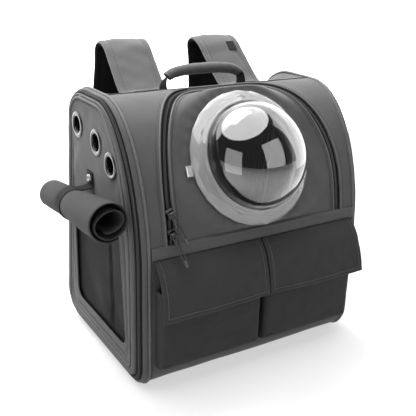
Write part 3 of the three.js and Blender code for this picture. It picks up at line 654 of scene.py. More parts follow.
class Pen:
    """Draws one material's nodes."""

    def __init__(self, name: str) -> None:
        """Starts an empty material of that name."""
        self.material = bpy.data.materials.new(name)
        self.material.use_nodes = True
        self.tree = self.material.node_tree
        self.tree.nodes.clear()
        self.end = self.tree.nodes.new("ShaderNodeOutputMaterial")

    def add(self, kind: str, settings: dict[str, Any], inputs: dict[Any, Any]) -> bpy.types.Node:
        """Adds a node.

        Args:
            kind: The node's type.
            settings: Its own settings, set first. "stops" are a ramp's places and colours.
            inputs: Values or links for its sockets, by name or number.

        Returns:
            The node.
        """
        node = self.tree.nodes.new(kind)
        for key, value in settings.items():
            if key == "stops":
                ramp = node.color_ramp
                for place, colour in value[2:]:
                    ramp.elements.new(place)
                for element, (place, colour) in zip(ramp.elements, value):
                    element.position = place
                    element.color = (*colour, 1.0)
            else:
                setattr(node, key, value)
        for key, value in inputs.items():
            socket = node.inputs[key]
            if isinstance(value, Value):
                self.tree.links.new(value.socket, socket)
            elif isinstance(value, bpy.types.NodeSocket):
                self.tree.links.new(value, socket)
            elif isinstance(value, tuple) and len(value) == 3 and socket.type == "RGBA":
                socket.default_value = (*value, 1.0)
            else:
                socket.default_value = value
        return node

    def place(self) -> bpy.types.NodeSocket:
        """Object coordinates, in metres."""
        return self.add("ShaderNodeTexCoord", {}, {}).outputs["Object"]

    def chart(self) -> tuple[Value, Value]:
        """The piece's own map, as two lengths in metres: across and along."""
        uv = self.add("ShaderNodeUVMap", {"uv_map": "UVMap"}, {}).outputs[0]
        parts = self.add("ShaderNodeSeparateXYZ", {}, {0: uv})
        return Value(self, parts.outputs[0]), Value(self, parts.outputs[1])

    def wear(self) -> Value:
        """The piece's rubbed edges, 0 to 1."""
        node = self.add("ShaderNodeAttribute", {"attribute_name": "wear"}, {})
        return Value(self, node.outputs["Fac"])

    def noise(self, scale: float, detail: float = 2.0, rough: float = 0.5) -> Value:
        """Noise in object coordinates, 0 to 1, with scale waves to the metre."""
        inputs = {"Vector": self.place(), "Scale": scale, "Detail": detail, "Roughness": rough}
        return Value(self, self.add("ShaderNodeTexNoise", {}, inputs).outputs[0])

    def cells(self, scale: float) -> Value:
        """Distance to the nearest cell point, with scale cells to the metre."""
        node = self.add("ShaderNodeTexVoronoi", {}, {"Vector": self.place(), "Scale": scale})
        return Value(self, node.outputs["Distance"])

    def mix(self, share: Any, first: Any, second: Any) -> bpy.types.NodeSocket:
        """A colour between two, by share."""
        node = self.add("ShaderNodeMix", {"data_type": "RGBA"}, {0: share, 6: first, 7: second})
        return node.outputs[2]

    def bump(self, height: Value, depth: float, below: Any = None) -> bpy.types.NodeSocket:
        """A Bump node, depth in millimetres for a height of 1."""
        inputs: dict[Any, Any] = {"Height": height, "Distance": depth * MM, "Strength": 1.0}
        if below is not None:
            inputs["Normal"] = below
        return self.add("ShaderNodeBump", {}, inputs).outputs[0]

    def finish(self, inputs: dict[str, Any]) -> bpy.types.Material:
        """Ends the material with a Principled BSDF of these inputs."""
        shader = self.add("ShaderNodeBsdfPrincipled", {}, inputs)
        self.tree.links.new(shader.outputs[0], self.end.inputs[0])
        return self.material


def grey(level: float, warmth: float = 0.0) -> tuple[float, float, float]:
    """A linear grey, slightly warm or cool."""
    return (level * (1 + warmth), level, level * (1 - warmth))


@dataclass(frozen=True)
class Cloth:
    """A smooth fine-napped cloth: mottled nap, small grain, paler rubbed edges and a soft sheen.

    Attributes:
        name: The finish's name.
        level: Linear grey of its nap.
        mottle: Strength of the blotches, as a share.
        grain: Depth of the grain, in millimetres.
        sheen: Weight of the sheen.
        rough: Roughness.
    """

    name: str
    level: float
    mottle: float = 0.16
    grain: float = 0.16
    sheen: float = 0.12
    rough: float = 0.78

    def make(self) -> bpy.types.Material:
        """Builds the material."""
        pen = Pen(self.name)
        blotch = pen.noise(42.0, 4.0, 0.6)
        nap = pen.noise(620.0, 3.0, 0.62)
        pores = pen.cells(1350.0)
        tone = (blotch - 0.5) * 0.9 + (nap - 0.5) * 1.1 + 0.5 + pen.wear() * 0.55
        dark, pale = grey(self.level * (1 - self.mottle)), grey(self.level * (1 + self.mottle))
        colour = pen.mix(tone.most(0.0).least(1.4), dark, pale)
        low = pen.bump(nap, self.grain * 1.6)
        fine = pen.bump(1.0 - pores, self.grain * 0.5, low)
        return pen.finish(
            {
                "Base Color": colour,
                "Roughness": (nap - 0.5) * 0.2 + self.rough,
                "Normal": fine,
                "Sheen Weight": self.sheen,
                "Sheen Roughness": 0.45,
                "Specular IOR Level": 0.2,
            }
        )


@dataclass(frozen=True)
class Binding:
    """A folded bias tape round a piping cord: fine diagonal twill with small puckers along it."""

    name: str
    level: float

    def make(self) -> bpy.types.Material:
        """Builds the material."""
        pen = Pen(self.name)
        across, along = pen.chart()
        twill = ((across + along) * (2 * math.pi / 0.0011)).sine() * 0.5 + 0.5
        pucker = pen.noise(210.0, 2.0)
        tone = pucker * 0.7 + twill * 0.3
        colour = pen.mix(tone, grey(self.level * 0.8), grey(self.level * 1.25))
        normal = pen.bump(twill, 0.05, pen.bump(pucker, 0.35))
        return pen.finish(
            {
                "Base Color": colour,
                "Roughness": pucker * 0.15 + 0.6,
                "Normal": normal,
                "Sheen Weight": 0.06,
                "Specular IOR Level": 0.25,
            }
        )


@dataclass(frozen=True)
class Webbing:
    """A woven tape: ribs across it and a fine pick along it."""

    name: str
    level: float
    rib: float = 1.5

    def make(self) -> bpy.types.Material:
        """Builds the material."""
        pen = Pen(self.name)
        across, along = pen.chart()
        ribs = (along * (2 * math.pi / (self.rib * MM))).sine() * 0.5 + 0.5
        picks = (across * (2 * math.pi / (0.9 * MM))).sine() * 0.5 + 0.5
        weave = ribs * 0.65 + picks * 0.35
        tone = weave * 0.6 + pen.noise(160.0, 3.0) * 0.4
        colour = pen.mix(tone, grey(self.level * 0.65), grey(self.level * 1.5))
        return pen.finish(
            {
                "Base Color": colour,
                "Roughness": 0.85 - weave * 0.2,
                "Normal": pen.bump(weave, 0.28),
                "Specular IOR Level": 0.2,
            }
        )


@dataclass(frozen=True)
class Net:
    """An open knitted net: threads on two diagonals round small round-cornered holes."""

    name: str
    level: float
    pitch: float = 2.3

    def make(self) -> bpy.types.Material:
        """Builds the material."""
        pen = Pen(self.name)
        across, along = pen.chart()
        turn = 2 * math.pi / (self.pitch * MM)
        first = ((across + along * 0.55) * turn).sine()
        second = ((across - along * 0.55) * turn).sine()
        open_hole = (first * second).between(0.08, 0.35)
        rows = ((across + along * 1.4) * (turn / 2.1)).sine() * 0.5 + 0.5
        colour = pen.mix(rows, grey(self.level * 0.5), grey(self.level * 1.9))
        return pen.finish(
            {
                "Base Color": colour,
                "Roughness": rows * 0.2 + 0.5,
                "Alpha": 1.0 - open_hole * 0.85,
                "Normal": pen.bump(1.0 - open_hole, 0.35),
                "Specular IOR Level": 0.15,
            }
        )


@dataclass(frozen=True)
class Moulded:
    """Moulded plastic or lacquered metal: fine unevenness, faint smudges and a gloss.

    Attributes:
        name: The finish's name.
        level: Linear grey.
        rough: Roughness.
        metal: Metallic share.
        coat: Weight of the lacquer.
    """

    name: str
    level: float
    rough: float
    metal: float = 0.0
    coat: float = 0.0

    def make(self) -> bpy.types.Material:
        """Builds the material."""
        pen = Pen(self.name)
        smudge = pen.noise(90.0, 3.0)
        grain = pen.noise(900.0, 2.0)
        colour = pen.mix(smudge, grey(self.level * 0.75), grey(self.level * 1.3))
        return pen.finish(
            {
                "Base Color": colour,
                "Roughness": (smudge - 0.5) * 0.16 + self.rough,
                "Metallic": self.metal,
                "Normal": pen.bump(grain, 0.02),
                "Coat Weight": self.coat,
                "Coat Roughness": 0.12,
                "Specular IOR Level": 0.55,
            }
        )


@dataclass(frozen=True)
class Clear:
    """Clear moulded acrylic: see-through, with a gloss and faint smudges.

    Attributes:
        name: The finish's name.
        tint: Linear grey of the body.
        through: Share of light that passes.
        rough: Roughness.
        gloss: Weight of its clear top coat.
    """

    name: str
    tint: float
    through: float
    rough: float
    gloss: float

    def make(self) -> bpy.types.Material:
        """Builds the material."""
        pen = Pen(self.name)
        smudge = pen.noise(35.0, 3.0)
        colour = pen.mix(smudge, grey(self.tint * 0.94), grey(self.tint))
        return pen.finish(
            {
                "Base Color": colour,
                "Roughness": (smudge - 0.5) * 0.04 + self.rough,
                "IOR": 1.49,
                "Transmission Weight": self.through,
                "Coat Weight": self.gloss,
                "Coat Roughness": 0.03,
            }
        )


@dataclass(frozen=True)
class Paper:
    """The studio's paper: a plain pale matt sheet, lit from within so that it stays white."""

    name: str
    level: float
    glow: float

    def make(self) -> bpy.types.Material:
        """Builds the material."""
        pen = Pen(self.name)
        tone = pen.noise(3.0, 2.0)
        colour = pen.mix(tone, grey(self.level * 0.99), grey(self.level))
        return pen.finish(
            {
                "Base Color": colour,
                "Roughness": 0.9,
                "Specular IOR Level": 0.1,
                "Emission Color": (1.0, 1.0, 1.0),
                "Emission Strength": self.glow,
            }
        )


class Finishes:
    """Every finish of the carrier, made once."""

    def __init__(self) -> None:
        """Makes the materials."""
        self.cloth = Cloth("body_cloth", 0.055).make()
        self.dark = Cloth("dark_cloth", 0.024, 0.2, 0.2, 0.04, 0.85).make()
        self.lining = Cloth("lining_cloth", 0.005, 0.2, 0.1, 0.0, 0.9).make()
        # The strap cloth is the body's cloth painted a little paler (0.065 against 0.055): painted light on
        # the straps' upward-facing tops.
        self.strap = Cloth("strap_cloth", 0.065, 0.12, 0.14, 0.1, 0.75).make()
        # The piping tape is the body's cloth painted paler (0.075 against 0.055): painted highlight on the
        # raised piping beads.
        self.piping = Binding("piping_tape", 0.075).make()
        self.dark_piping = Binding("dark_piping_tape", 0.016).make()
        self.webbing = Webbing("webbing_tape", 0.008).make()
        self.tape = Webbing("zipper_tape", 0.004, 0.8).make()
        self.coil = Moulded("zipper_coil", 0.006, 0.42).make()
        self.net = Net("window_net_knit", 0.006).make()
        self.thread = Binding("sewing_thread", 0.11).make()
        self.black_plastic = Moulded("black_plastic", 0.012, 0.35).make()
        self.black_metal = Moulded("black_metal", 0.016, 0.2, 0.75, 0.6).make()
        self.bright_metal = Moulded("snap_metal", 0.32, 0.25, 0.95).make()
        self.ring = Clear("bezel_acrylic", 0.75, 0.8, 0.07, 0.3).make()
        self.dome = Clear("bubble_acrylic", 0.98, 1.0, 0.01, 1.0).make()



@dataclass
class BagForm:
    """The shared form of the bag: its side profile, the dip of its top and the flat round its window."""

    depth: float = 250.0
    crest_height: float = 347.0
    top_run: float = 46.0
    front_rise: float = 157.0
    arch_reach: float = 112.0
    back_lean: float = 30.0
    back_rise: float = 297.0
    foot_radius: float = 32.0
    heel_radius: float = 42.0
    floor_gap: float = 2.3
    top_sag: float = 22.0
    seam_x: float = 154.0
    side_face: float = 168.0
    panel_half: float = 151.65
    gusset_run: float = 25.0
    gusset_ease: float = 0.6
    door_half: float = 120.0
    door_foot: float = 193.0
    door_top_y: float = -26.0
    corner_width: float = 80.0
    corner_height: float = 150.0
    seam_past_crest: float = 4.0
    ring_radius: float = 85.0
    ring_hole: float = 67.0
    ring_tilt: float = 27.0
    ring_height: float = 276.0
    ring_inset: float = 7.0
    flatten: float = 28.0
    step: float = 1.6
    marks: dict[str, float] = field(default_factory=dict)

    def __post_init__(self) -> None:
        """Works out the profile, its lengths and normals, and the ring's plane."""
        front, back = -self.depth / 2, self.depth / 2
        crest = front + self.arch_reach
        turn = crest + self.top_run
        low = self.floor_gap

        def quarter(cy: float, cz: float, ry: float, rz: float, start: float) -> Array:
            """A quarter of an ellipse as (y, z) points, turned backwards from its start."""
            t = np.linspace(start, start - np.pi / 2, 60)
            return np.stack([cy + ry * np.cos(t), cz + rz * np.sin(t)], -1)

        toe, heel_r = self.foot_radius, self.heel_radius
        over_run, over_rise = back - self.back_lean - turn, self.crest_height - self.back_rise
        foot = quarter(front + toe, low + toe, toe, toe, -np.pi / 2)
        arch = quarter(crest, self.front_rise, self.arch_reach, self.crest_height - self.front_rise, np.pi)
        over = quarter(turn, self.back_rise, over_run, over_rise, np.pi / 2)
        heel = quarter(back - heel_r, low + heel_r, heel_r, heel_r, 0.0)
        parts = [np.array([[0.0, low]]), foot, arch, over, heel, np.array([[0.0, low]])]
        line = chain(*parts)
        steps = np.concatenate([[0.0], np.cumsum(np.linalg.norm(np.diff(line, axis=0), axis=1))])
        ends = np.cumsum([len(p) for p in parts])
        for name, index in (
            ("foot_start", ends[0]),
            ("foot_end", ends[1] - 1),
            ("arch_start", ends[1]),
            ("crest", ends[2] - 1),
            ("back_start", ends[3] - 1),
            ("heel_start", ends[3]),
            ("heel_end", ends[4] - 1),
        ):
            self.marks[name] = float(steps[index])
        self.girth = float(steps[-1])
        count = int(self.girth / self.step)
        self.s = np.linspace(0.0, self.girth, count, endpoint=False)
        self.line = np.stack([np.interp(self.s, steps, line[:, k]) for k in range(2)], -1)
        across = np.roll(self.line, -2, axis=0) - np.roll(self.line, 2, axis=0)
        self.normal = unit(np.stack([-across[:, 1], across[:, 0]], -1))
        tilt = math.radians(self.ring_tilt)
        self.ring_up = np.array([0.0, math.sin(tilt), math.cos(tilt)])
        self.ring_out = np.array([0.0, -math.cos(tilt), math.sin(tilt)])
        self.ring_at = self.length_at("arch_start", "crest", 1, self.ring_height)
        y, z = self.on_profile(np.array(self.ring_at), -self.ring_inset)
        self.ring_centre = np.array([0.0, float(y), float(z)])
        self.door_low = self.length_at("foot_end", "crest", 1, self.door_foot)
        self.door_top = self.length_at("arch_start", "crest", 0, self.door_top_y)

    def wrapped(self, values: Array, s: Array) -> Array:
        """Values given at the profile's samples, read at lengths s.

        Args:
            values: One value for each sample.
            s: Lengths along the profile.

        Returns:
            The values at those lengths.
        """
        at = np.concatenate([self.s, [self.girth]])
        return np.interp(np.mod(s, self.girth), at, np.concatenate([values, values[:1]]))

    def on_profile(self, s: Array, out: Any = 0.0) -> tuple[Array, Array]:
        """The place at length s along the profile and a distance out of it, as y and z.

        Args:
            s: Lengths along the profile.
            out: Distance out of it.

        Returns:
            Depths and heights.
        """
        ny, nz = self.wrapped(self.normal[:, 0], s), self.wrapped(self.normal[:, 1], s)
        y = self.wrapped(self.line[:, 0], s) + out * ny
        return y, self.wrapped(self.line[:, 1], s) + out * nz

    def length_at(self, start: str, end: str, axis: int, value: float) -> float:
        """The length between two marks at which a height or a depth is reached.

        Args:
            start: Mark to start from.
            end: Mark to end at.
            axis: 0 for a depth, 1 for a height.
            value: The depth or height.

        Returns:
            The length along the profile.
        """
        inside = (self.s >= self.marks[start]) & (self.s <= self.marks[end])
        s, v = self.s[inside], self.line[inside, axis]
        crossing = np.flatnonzero((v[:-1] - value) * (v[1:] - value) <= 0)
        i = int(crossing[0])
        return float(s[i] + (value - v[i]) / (v[i + 1] - v[i]) * (s[i + 1] - s[i]))

    def sag(self, x: Array, s: Array) -> Array:
        """How far the top dips between the gussets."""
        falls = smooth((s - self.marks["crest"]) / 52)
        rises = smooth((self.marks["back_start"] - 4 - s) / 44)
        return self.top_sag * falls * rises * (1 - (x / self.seam_x) ** 4)

    def on_bag(self, x: Any, s: Any, n: Any = 0.0) -> Array:
        """A point of a flat pattern on the bag.

        The pattern's length follows the side profile. Round the window it is pulled flat into the ring's
        plane, which eases back to the arch over the width flatten.

        Args:
            x: Across.
            s: Along the profile.
            n: Out of the surface.

        Returns:
            Points, with a last axis of three.
        """
        x, s, n = np.broadcast_arrays(np.asarray(x, float), np.asarray(s, float), np.asarray(n, float))
        y, z = self.on_profile(s, n - self.sag(x, s))
        bent = np.stack([x, y, z], -1)
        up = s - self.ring_at
        near = 1 - smooth((np.hypot(x, up) - self.ring_radius - 7) / self.flatten)
        ends = smooth((s - self.door_low) / 9) * smooth((self.door_top - s) / 16)
        share = (near * ends)[..., None]
        flat = self.ring_centre + up[..., None] * self.ring_up + n[..., None] * self.ring_out
        flat[..., 0] = x
        return bent * (1 - share) + flat * share

    def out_of(self, x: Array, s: Array) -> Array:
        """The direction out of the surface at a place of the pattern."""
        return unit(self.on_bag(x, s, 1.0) - self.on_bag(x, s, 0.0))

    def inset(self, s: Array) -> Array:
        """How far the side panel's outline lies inside the profile."""
        nz = np.maximum(self.wrapped(self.normal[:, 1], s), 0.0)
        return self.gusset_run * (1 - self.gusset_ease * nz**2)

    def arch(self, grow: float, count: int, dip: float = 0.0) -> Array:
        """The door's outline from its left foot over its round corners to its right foot.

        Args:
            grow: Distance outside the door's edge.
            count: Number of points.
            dip: How far its feet reach below the door's foot.

        Returns:
            (count, 2) points, across and along.
        """
        half, top = self.door_half + grow, self.door_top + grow
        wide, tall = self.corner_width + grow, self.corner_height + grow
        foot = self.door_low - dip
        t = np.linspace(np.pi, np.pi / 2, 90)
        left = np.stack([-half + wide + wide * np.cos(t), top - tall + tall * np.sin(t)], -1)
        right = left[::-1] * [-1, 1]
        outline = chain([[-half, foot]], left, right, [[half, foot]])
        return resample(outline, count)

    def on_ring(self, x: Array, up: Array, out: Array) -> Array:
        """A point in the window ring's own frame.

        Args:
            x: Across.
            up: Up the ring.
            out: Out of its plane.

        Returns:
            Points, with a last axis of three.
        """
        x, up, out = np.broadcast_arrays(*[np.asarray(v, float) for v in (x, up, out)])
        made = self.ring_centre + up[..., None] * self.ring_up + out[..., None] * self.ring_out
        made[..., 0] += x
        return made


class Seamstress:
    """Makes what is sewn: piping cords, stitches and zipper coils."""

    def __init__(self, shop: Workshop, looks: Finishes, form: BagForm) -> None:
        """Keeps the workshop, finishes and form."""
        self.shop = shop
        self.looks = looks
        self.form = form

    def cord(self, path: Array, up: Array, radius: float, closed: bool) -> Patch:
        """A round piping cord along a path, swelling slightly between its stitches.

        Args:
            path: (N, 3) middle line.
            up: Direction out of the cloth.
            radius: Its radius.
            closed: Whether it closes on itself.

        Returns:
            Its patch.
        """
        count = len(path)
        swell = 1 + 0.05 * ripple(np.arange(count) * 1.6, np.zeros(count), 14.0, 5)
        section = ellipse(radius, radius, 10)[None] * swell[:, None, None]
        grid = sweep(path, up, section, closed)
        return Patch(grid, wrap_rows=closed, wrap_cols=True, caps=not closed)

    def stitches(
        self, path: Array, out: Array, pitch: float = 3.6, long: float = 2.3, thick: float = 0.42
    ) -> Patch:
        """A row of stitches: each a small oval bead of thread that dips into the cloth at its ends.

        Args:
            path: (N, 3) line that the stitches follow.
            out: (N, 3) direction out of the cloth.
            pitch: Distance from stitch to stitch.
            long: Length of one stitch.
            thick: Radius of the thread.

        Returns:
            One patch of all the stitches, cut into separate beads.
        """
        steps = np.concatenate([[0.0], np.cumsum(np.linalg.norm(np.diff(path, axis=0), axis=1))])
        middles = np.arange(pitch / 2, steps[-1], pitch)
        shares = np.linspace(-0.5, 0.5, 6)
        at = (middles[:, None] + shares * long).ravel()
        line = np.stack([np.interp(at, steps, path[:, k]) for k in range(3)], -1)
        rise = unit(np.stack([np.interp(at, steps, out[:, k]) for k in range(3)], -1))
        ahead = np.stack([np.interp(at + 0.5, steps, path[:, k]) for k in range(3)], -1)
        behind = np.stack([np.interp(at - 0.5, steps, path[:, k]) for k in range(3)], -1)
        along = unit(ahead - behind)
        over = unit(np.cross(along, rise))
        girth = np.tile(np.sqrt(np.clip(1 - (2 * shares) ** 2, 0.02, 1)), len(middles))
        t = np.linspace(0, 2 * np.pi, 6, endpoint=False)
        lift = thick * (girth * 0.9 - 0.35)
        centre = line + rise * lift[:, None]
        grid = centre[:, None] + thick * girth[:, None, None] * (
            np.cos(t)[None, :, None] * over[:, None] + np.sin(t)[None, :, None] * rise[:, None]
        )
        keep = np.ones(grid.shape[:2], bool)
        keep[len(shares) - 1 :: len(shares)] = False
        return Patch(grid, wrap_cols=True, keep=keep)

    def coil(
        self, path: Array, up: Array, width: float, height: float, closed: bool, pitch: float = 2.1
    ) -> Patch:
        """A zipper's coil: a low oval ridge whose width and height swell at every turn of the coil.

        Args:
            path: (N, 3) middle line.
            up: Direction out of the cloth.
            width: Width of the coil.
            height: Height of the coil.
            closed: Whether it closes on itself.
            pitch: Distance from turn to turn.

        Returns:
            Its patch.
        """
        step = np.linalg.norm(np.diff(path, axis=0), axis=1).mean()
        wave = 0.5 + 0.5 * np.cos(np.arange(len(path)) * step / pitch * 2 * np.pi)
        t = np.linspace(0, np.pi, 9)
        across = -np.cos(t)[None] * (width / 2) * (0.78 + 0.22 * wave[:, None])
        groove = 1 - 0.55 * np.exp(-((np.cos(t)[None] / 0.16) ** 2))
        rise = np.sin(t)[None] * height * (0.55 + 0.45 * wave[:, None]) * groove
        section = np.stack([across, rise], -1)
        under = np.stack([[width * 0.3, -width * 0.3], [-0.3, -0.3]], -1)
        section = np.concatenate([section, np.broadcast_to(under, (len(path), 2, 2))], 1)
        grid = sweep(path, up, section, closed)
        return Patch(grid, wrap_rows=closed, wrap_cols=True, caps=not closed)


@dataclass
class Shell:
    """The bag's front, top, back and base, in cloth."""

    shop: Workshop
    looks: Finishes
    form: BagForm
    sewing: Seamstress
    wall: float = 2.6
    base_wall: float = 3.0
    pad_wall: float = 8.0
    seam_gap: float = 0.35
    tape: float = 10.0

    def uneven(self, x: Array, s: Array, depth: float) -> Array:
        """Unevenness of a panel, fading at the side seams.

        Args:
            x: Across.
            s: Along the profile.
            depth: Its size.

        Returns:
            How far the cloth stands out.
        """
        fade = smooth((self.form.panel_half - np.abs(x)) / 25)
        return depth * fade * (ripple(x, s, 130.0, 11) + 0.35 * ripple(x, s, 42.0, 12))

    def front(self) -> None:
        """The front panel: a plain part below the door, and a part led round the door's arch.

        Round the arch the first parameter runs along the arch and the second from it to the panel's edge.
        """
        form = self.form
        low = form.marks["foot_start"] + self.seam_gap
        high = form.marks["crest"] + form.seam_past_crest
        x, s = spread((-form.panel_half, low), (form.panel_half, form.door_low - 3), (110, 110))
        below = form.on_bag(x, s, self.uneven(x, s, 0.5))
        grow = self.tape + 2 * self.seam_gap
        inner = form.arch(grow, 260, 3.0)
        outer = self._edge_for(inner, grow, high)
        v = np.linspace(0, 1, 26)[None, :, None]
        flat = inner[:, None] * (1 - v) + outer[:, None] * v
        fx, fs = flat[..., 0], flat[..., 1]
        lip = 1.1 * np.exp(-((v[..., 0] * 22) ** 2) / 18)
        around = form.on_bag(fx, fs, self.uneven(fx, fs, 0.5) + lip)
        self.shop.piece(
            "front_panel_cloth",
            [Patch(below), Patch(around)],
            [self.looks.cloth, self.looks.lining],
            "body_cloth",
            ("front_panel",),
            wall=self.wall - 0.4,
            facing=Facing.AWAY,
        )

    def _edge_for(self, inner: Array, grow: float, high: float) -> Array:
        """The panel's outer edge opposite each point of the arch.

        Args:
            inner: Points of the arch, across and along.
            grow: How far outside the door's edge that arch lies.
            high: Length along the profile of the panel's top edge.

        Returns:
            Points level with the arch's sides, above its top, and led round the panel's corners between them.
        """
        form = self.form
        x, s = inner[:, 0], inner[:, 1]
        flat_half = form.door_half - form.corner_width
        start = form.door_top - form.corner_height
        across = np.maximum(np.abs(x) - flat_half, 0) / (form.corner_width + grow)
        rise = np.maximum(s - start, 0) / (form.corner_height + grow)
        share = np.arctan2(rise, across + 1e-9) / (np.pi / 2)
        span_s, span_x = high - start, form.panel_half - flat_half
        reach = share * (span_s + span_x)
        corner_s = start + np.minimum(reach, span_s)
        corner_x = np.sign(x) * (form.panel_half - np.maximum(reach - span_s, 0))
        edge_s = np.where(s <= start, s, corner_s)
        edge_x = np.where(np.abs(x) <= flat_half, x, corner_x)
        return np.stack([edge_x, np.where(np.abs(x) <= flat_half, high, edge_s)], -1)

    def top(self) -> None:
        """The top panel, which dips between the gussets, and the dark seam in front of it."""
        form = self.form
        low = form.marks["crest"] + form.seam_past_crest + self.seam_gap
        high = form.marks["back_start"] - self.seam_gap
        x, s = spread((-form.panel_half, low), (form.panel_half, high), (120, 70))
        grid = form.on_bag(x, s, self.uneven(x, s, 0.4) - 0.2)
        self.shop.piece(
            "top_panel_cloth",
            [Patch(grid)],
            [self.looks.cloth, self.looks.lining],
            "body_cloth",
            ("top_panel",),
            wall=self.wall - 0.4,
            facing=Facing.UP,
        )
        x = np.linspace(-form.panel_half, form.panel_half, 200)
        s = np.full_like(x, form.marks["crest"] + form.seam_past_crest)
        path = form.on_bag(x, s, 0.2)
        seam = self.sewing.cord(path, form.out_of(x, s), 1.1, False)
        self.shop.piece("top_seam_cord", [seam], [self.looks.dark_piping], "dark_cloth")

    def back(self) -> None:
        """The padded back: crowned between its edges, with two long sewn channels."""
        form = self.form
        low, high = form.marks["back_start"], form.marks["heel_end"] - self.seam_gap
        x, s = spread((-form.panel_half, low), (form.panel_half, high), (150, 150))
        edge = rim_distance(x, s)
        channel = dent(np.abs(x) - 52, 3.2) * smooth(edge / 30)
        crown = 2.2 * smooth(edge / 22) - 2.0
        grid = form.on_bag(x, s, crown - 2.4 * channel)
        self.shop.piece(
            "back_panel_padding",
            [Patch(grid, wear=channel * 0.3)],
            [self.looks.dark, self.looks.lining],
            "dark_cloth",
            ("back_panel",),
            wall=self.pad_wall - 2.5,
            facing=Facing.AWAY,
        )

    def base(self) -> None:
        """The stiff base on the floor."""
        form = self.form
        low, high = form.marks["heel_end"] - form.girth, form.marks["foot_start"]
        x, s = spread((-form.panel_half, low), (form.panel_half, high), (60, 60))
        edge = rim_distance(x, s)
        grid = form.on_bag(x, s, form.floor_gap * smooth(edge / 6))
        self.shop.piece(
            "base_panel_board",
            [Patch(grid)],
            [self.looks.dark, self.looks.lining],
            "dark_cloth",
            ("base_panel",),
            wall=self.base_wall,
            facing=Facing.AWAY,
        )

    def build(self) -> None:
        """Builds the four panels."""
        self.front()
        self.top()
        self.back()
        self.base()


@dataclass
class Door:
    """The arched door with its zipper, between two thin piping cords."""

    shop: Workshop
    looks: Finishes
    form: BagForm
    sewing: Seamstress
    wall: float = 2.2
    tape: float = 10.0
    gap: float = 0.35

    def panel(self) -> None:
        """The door's cloth: its rows run round it, its columns from the window's hole to its edge."""
        form = self.form
        hole = form.ring_hole + 4
        angle = np.linspace(0, 2 * np.pi, 420, endpoint=False)
        outline = chain(form.arch(0.0, 900, 3.5), [[-form.door_half, form.door_low - 3.5]])
        reach = reach_to(resample(outline, 4000), (0.0, form.ring_at), angle)
        v = np.linspace(0, 1, 46) ** 0.9
        radius = hole + (reach[:, None] - hole) * v
        x = radius * np.cos(angle)[:, None]
        s = form.ring_at + radius * np.sin(angle)[:, None]
        edge = (1 - v)[None] * (reach[:, None] - hole)
        soft = smooth(edge / 16) * smooth((radius - form.ring_radius - 3) / 12)
        past_ring = radius - form.ring_radius
        gathers = np.sin(angle * 34 + 2 * np.sin(angle * 3))[:, None]
        pucker = 0.5 * np.exp(-np.maximum(past_ring, 0) / 9) * gathers * smooth((past_ring + 2) / 4)
        lift = soft * (0.8 * ripple(x, s, 95.0, 21) + 0.3 * ripple(x, s, 38.0, 22)) + pucker
        lip = 0.9 * dent(edge, 3.0)
        grid = form.on_bag(x, s, lift + lip - 0.2)
        self.shop.piece(
            "door_cloth",
            [Patch(grid, wrap_rows=True)],
            [self.looks.cloth, self.looks.lining],
            "body_cloth",
            ("door_panel",),
            wall=self.wall,
            facing=Facing.AWAY,
        )

    def line(self, grow: float, n: float, count: int = 700) -> tuple[Array, Array]:
        """A path round the door's arch, and the directions out of the bag along it.

        Args:
            grow: Distance outside the door's edge.
            n: Height above the cloth.
            count: Number of points.

        Returns:
            The path and its directions out.
        """
        flat = self.form.arch(grow, count, 2.5)
        return self.form.on_bag(flat[:, 0], flat[:, 1], n), self.form.out_of(flat[:, 0], flat[:, 1])

    def zipper(self) -> None:
        """Tape, coil and the two piping cords beside them."""
        profile = ((-0.8, -1.9), (0.6, -1.3), (3.0, -1.0), (7.4, -1.0), (9.8, -1.3), (11.4, -1.9))
        tape = np.stack([self.line(grow, lift)[0] for grow, lift in profile], 1)
        self.shop.piece(
            "door_zipper_tapes",
            [Patch(tape)],
            [self.looks.tape],
            "zipper",
            ("door_zipper_tape",),
            wall=0.9,
            facing=Facing.AWAY,
        )
        path, out = self.line(self.gap + self.tape / 2, -0.9, 1500)
        coil = self.sewing.coil(path, out, 4.6, 1.9, False)
        self.shop.piece("door_zipper_coil", [coil], [self.looks.coil], "zipper", ("door_zipper_chain",))
        inner, inner_out = self.line(-0.9, 0.7)
        outer, outer_out = self.line(self.tape + 1.7, 0.8)
        cords = [
            self.sewing.cord(inner, inner_out, 1.25, False),
            self.sewing.cord(outer, outer_out, 1.35, False),
        ]
        self.shop.piece("door_piping", cords, [self.looks.piping], "piping")
        inner, inner_out = self.line(-5.2, 0.3)
        outer, outer_out = self.line(self.tape + 6.2, 0.55)
        rows = [self.sewing.stitches(inner, inner_out), self.sewing.stitches(outer, outer_out)]
        self.shop.piece("door_stitching", rows, [self.looks.dark_piping], "webbing")

    def build(self) -> None:
        """Builds the door."""
        self.panel()
        self.zipper()


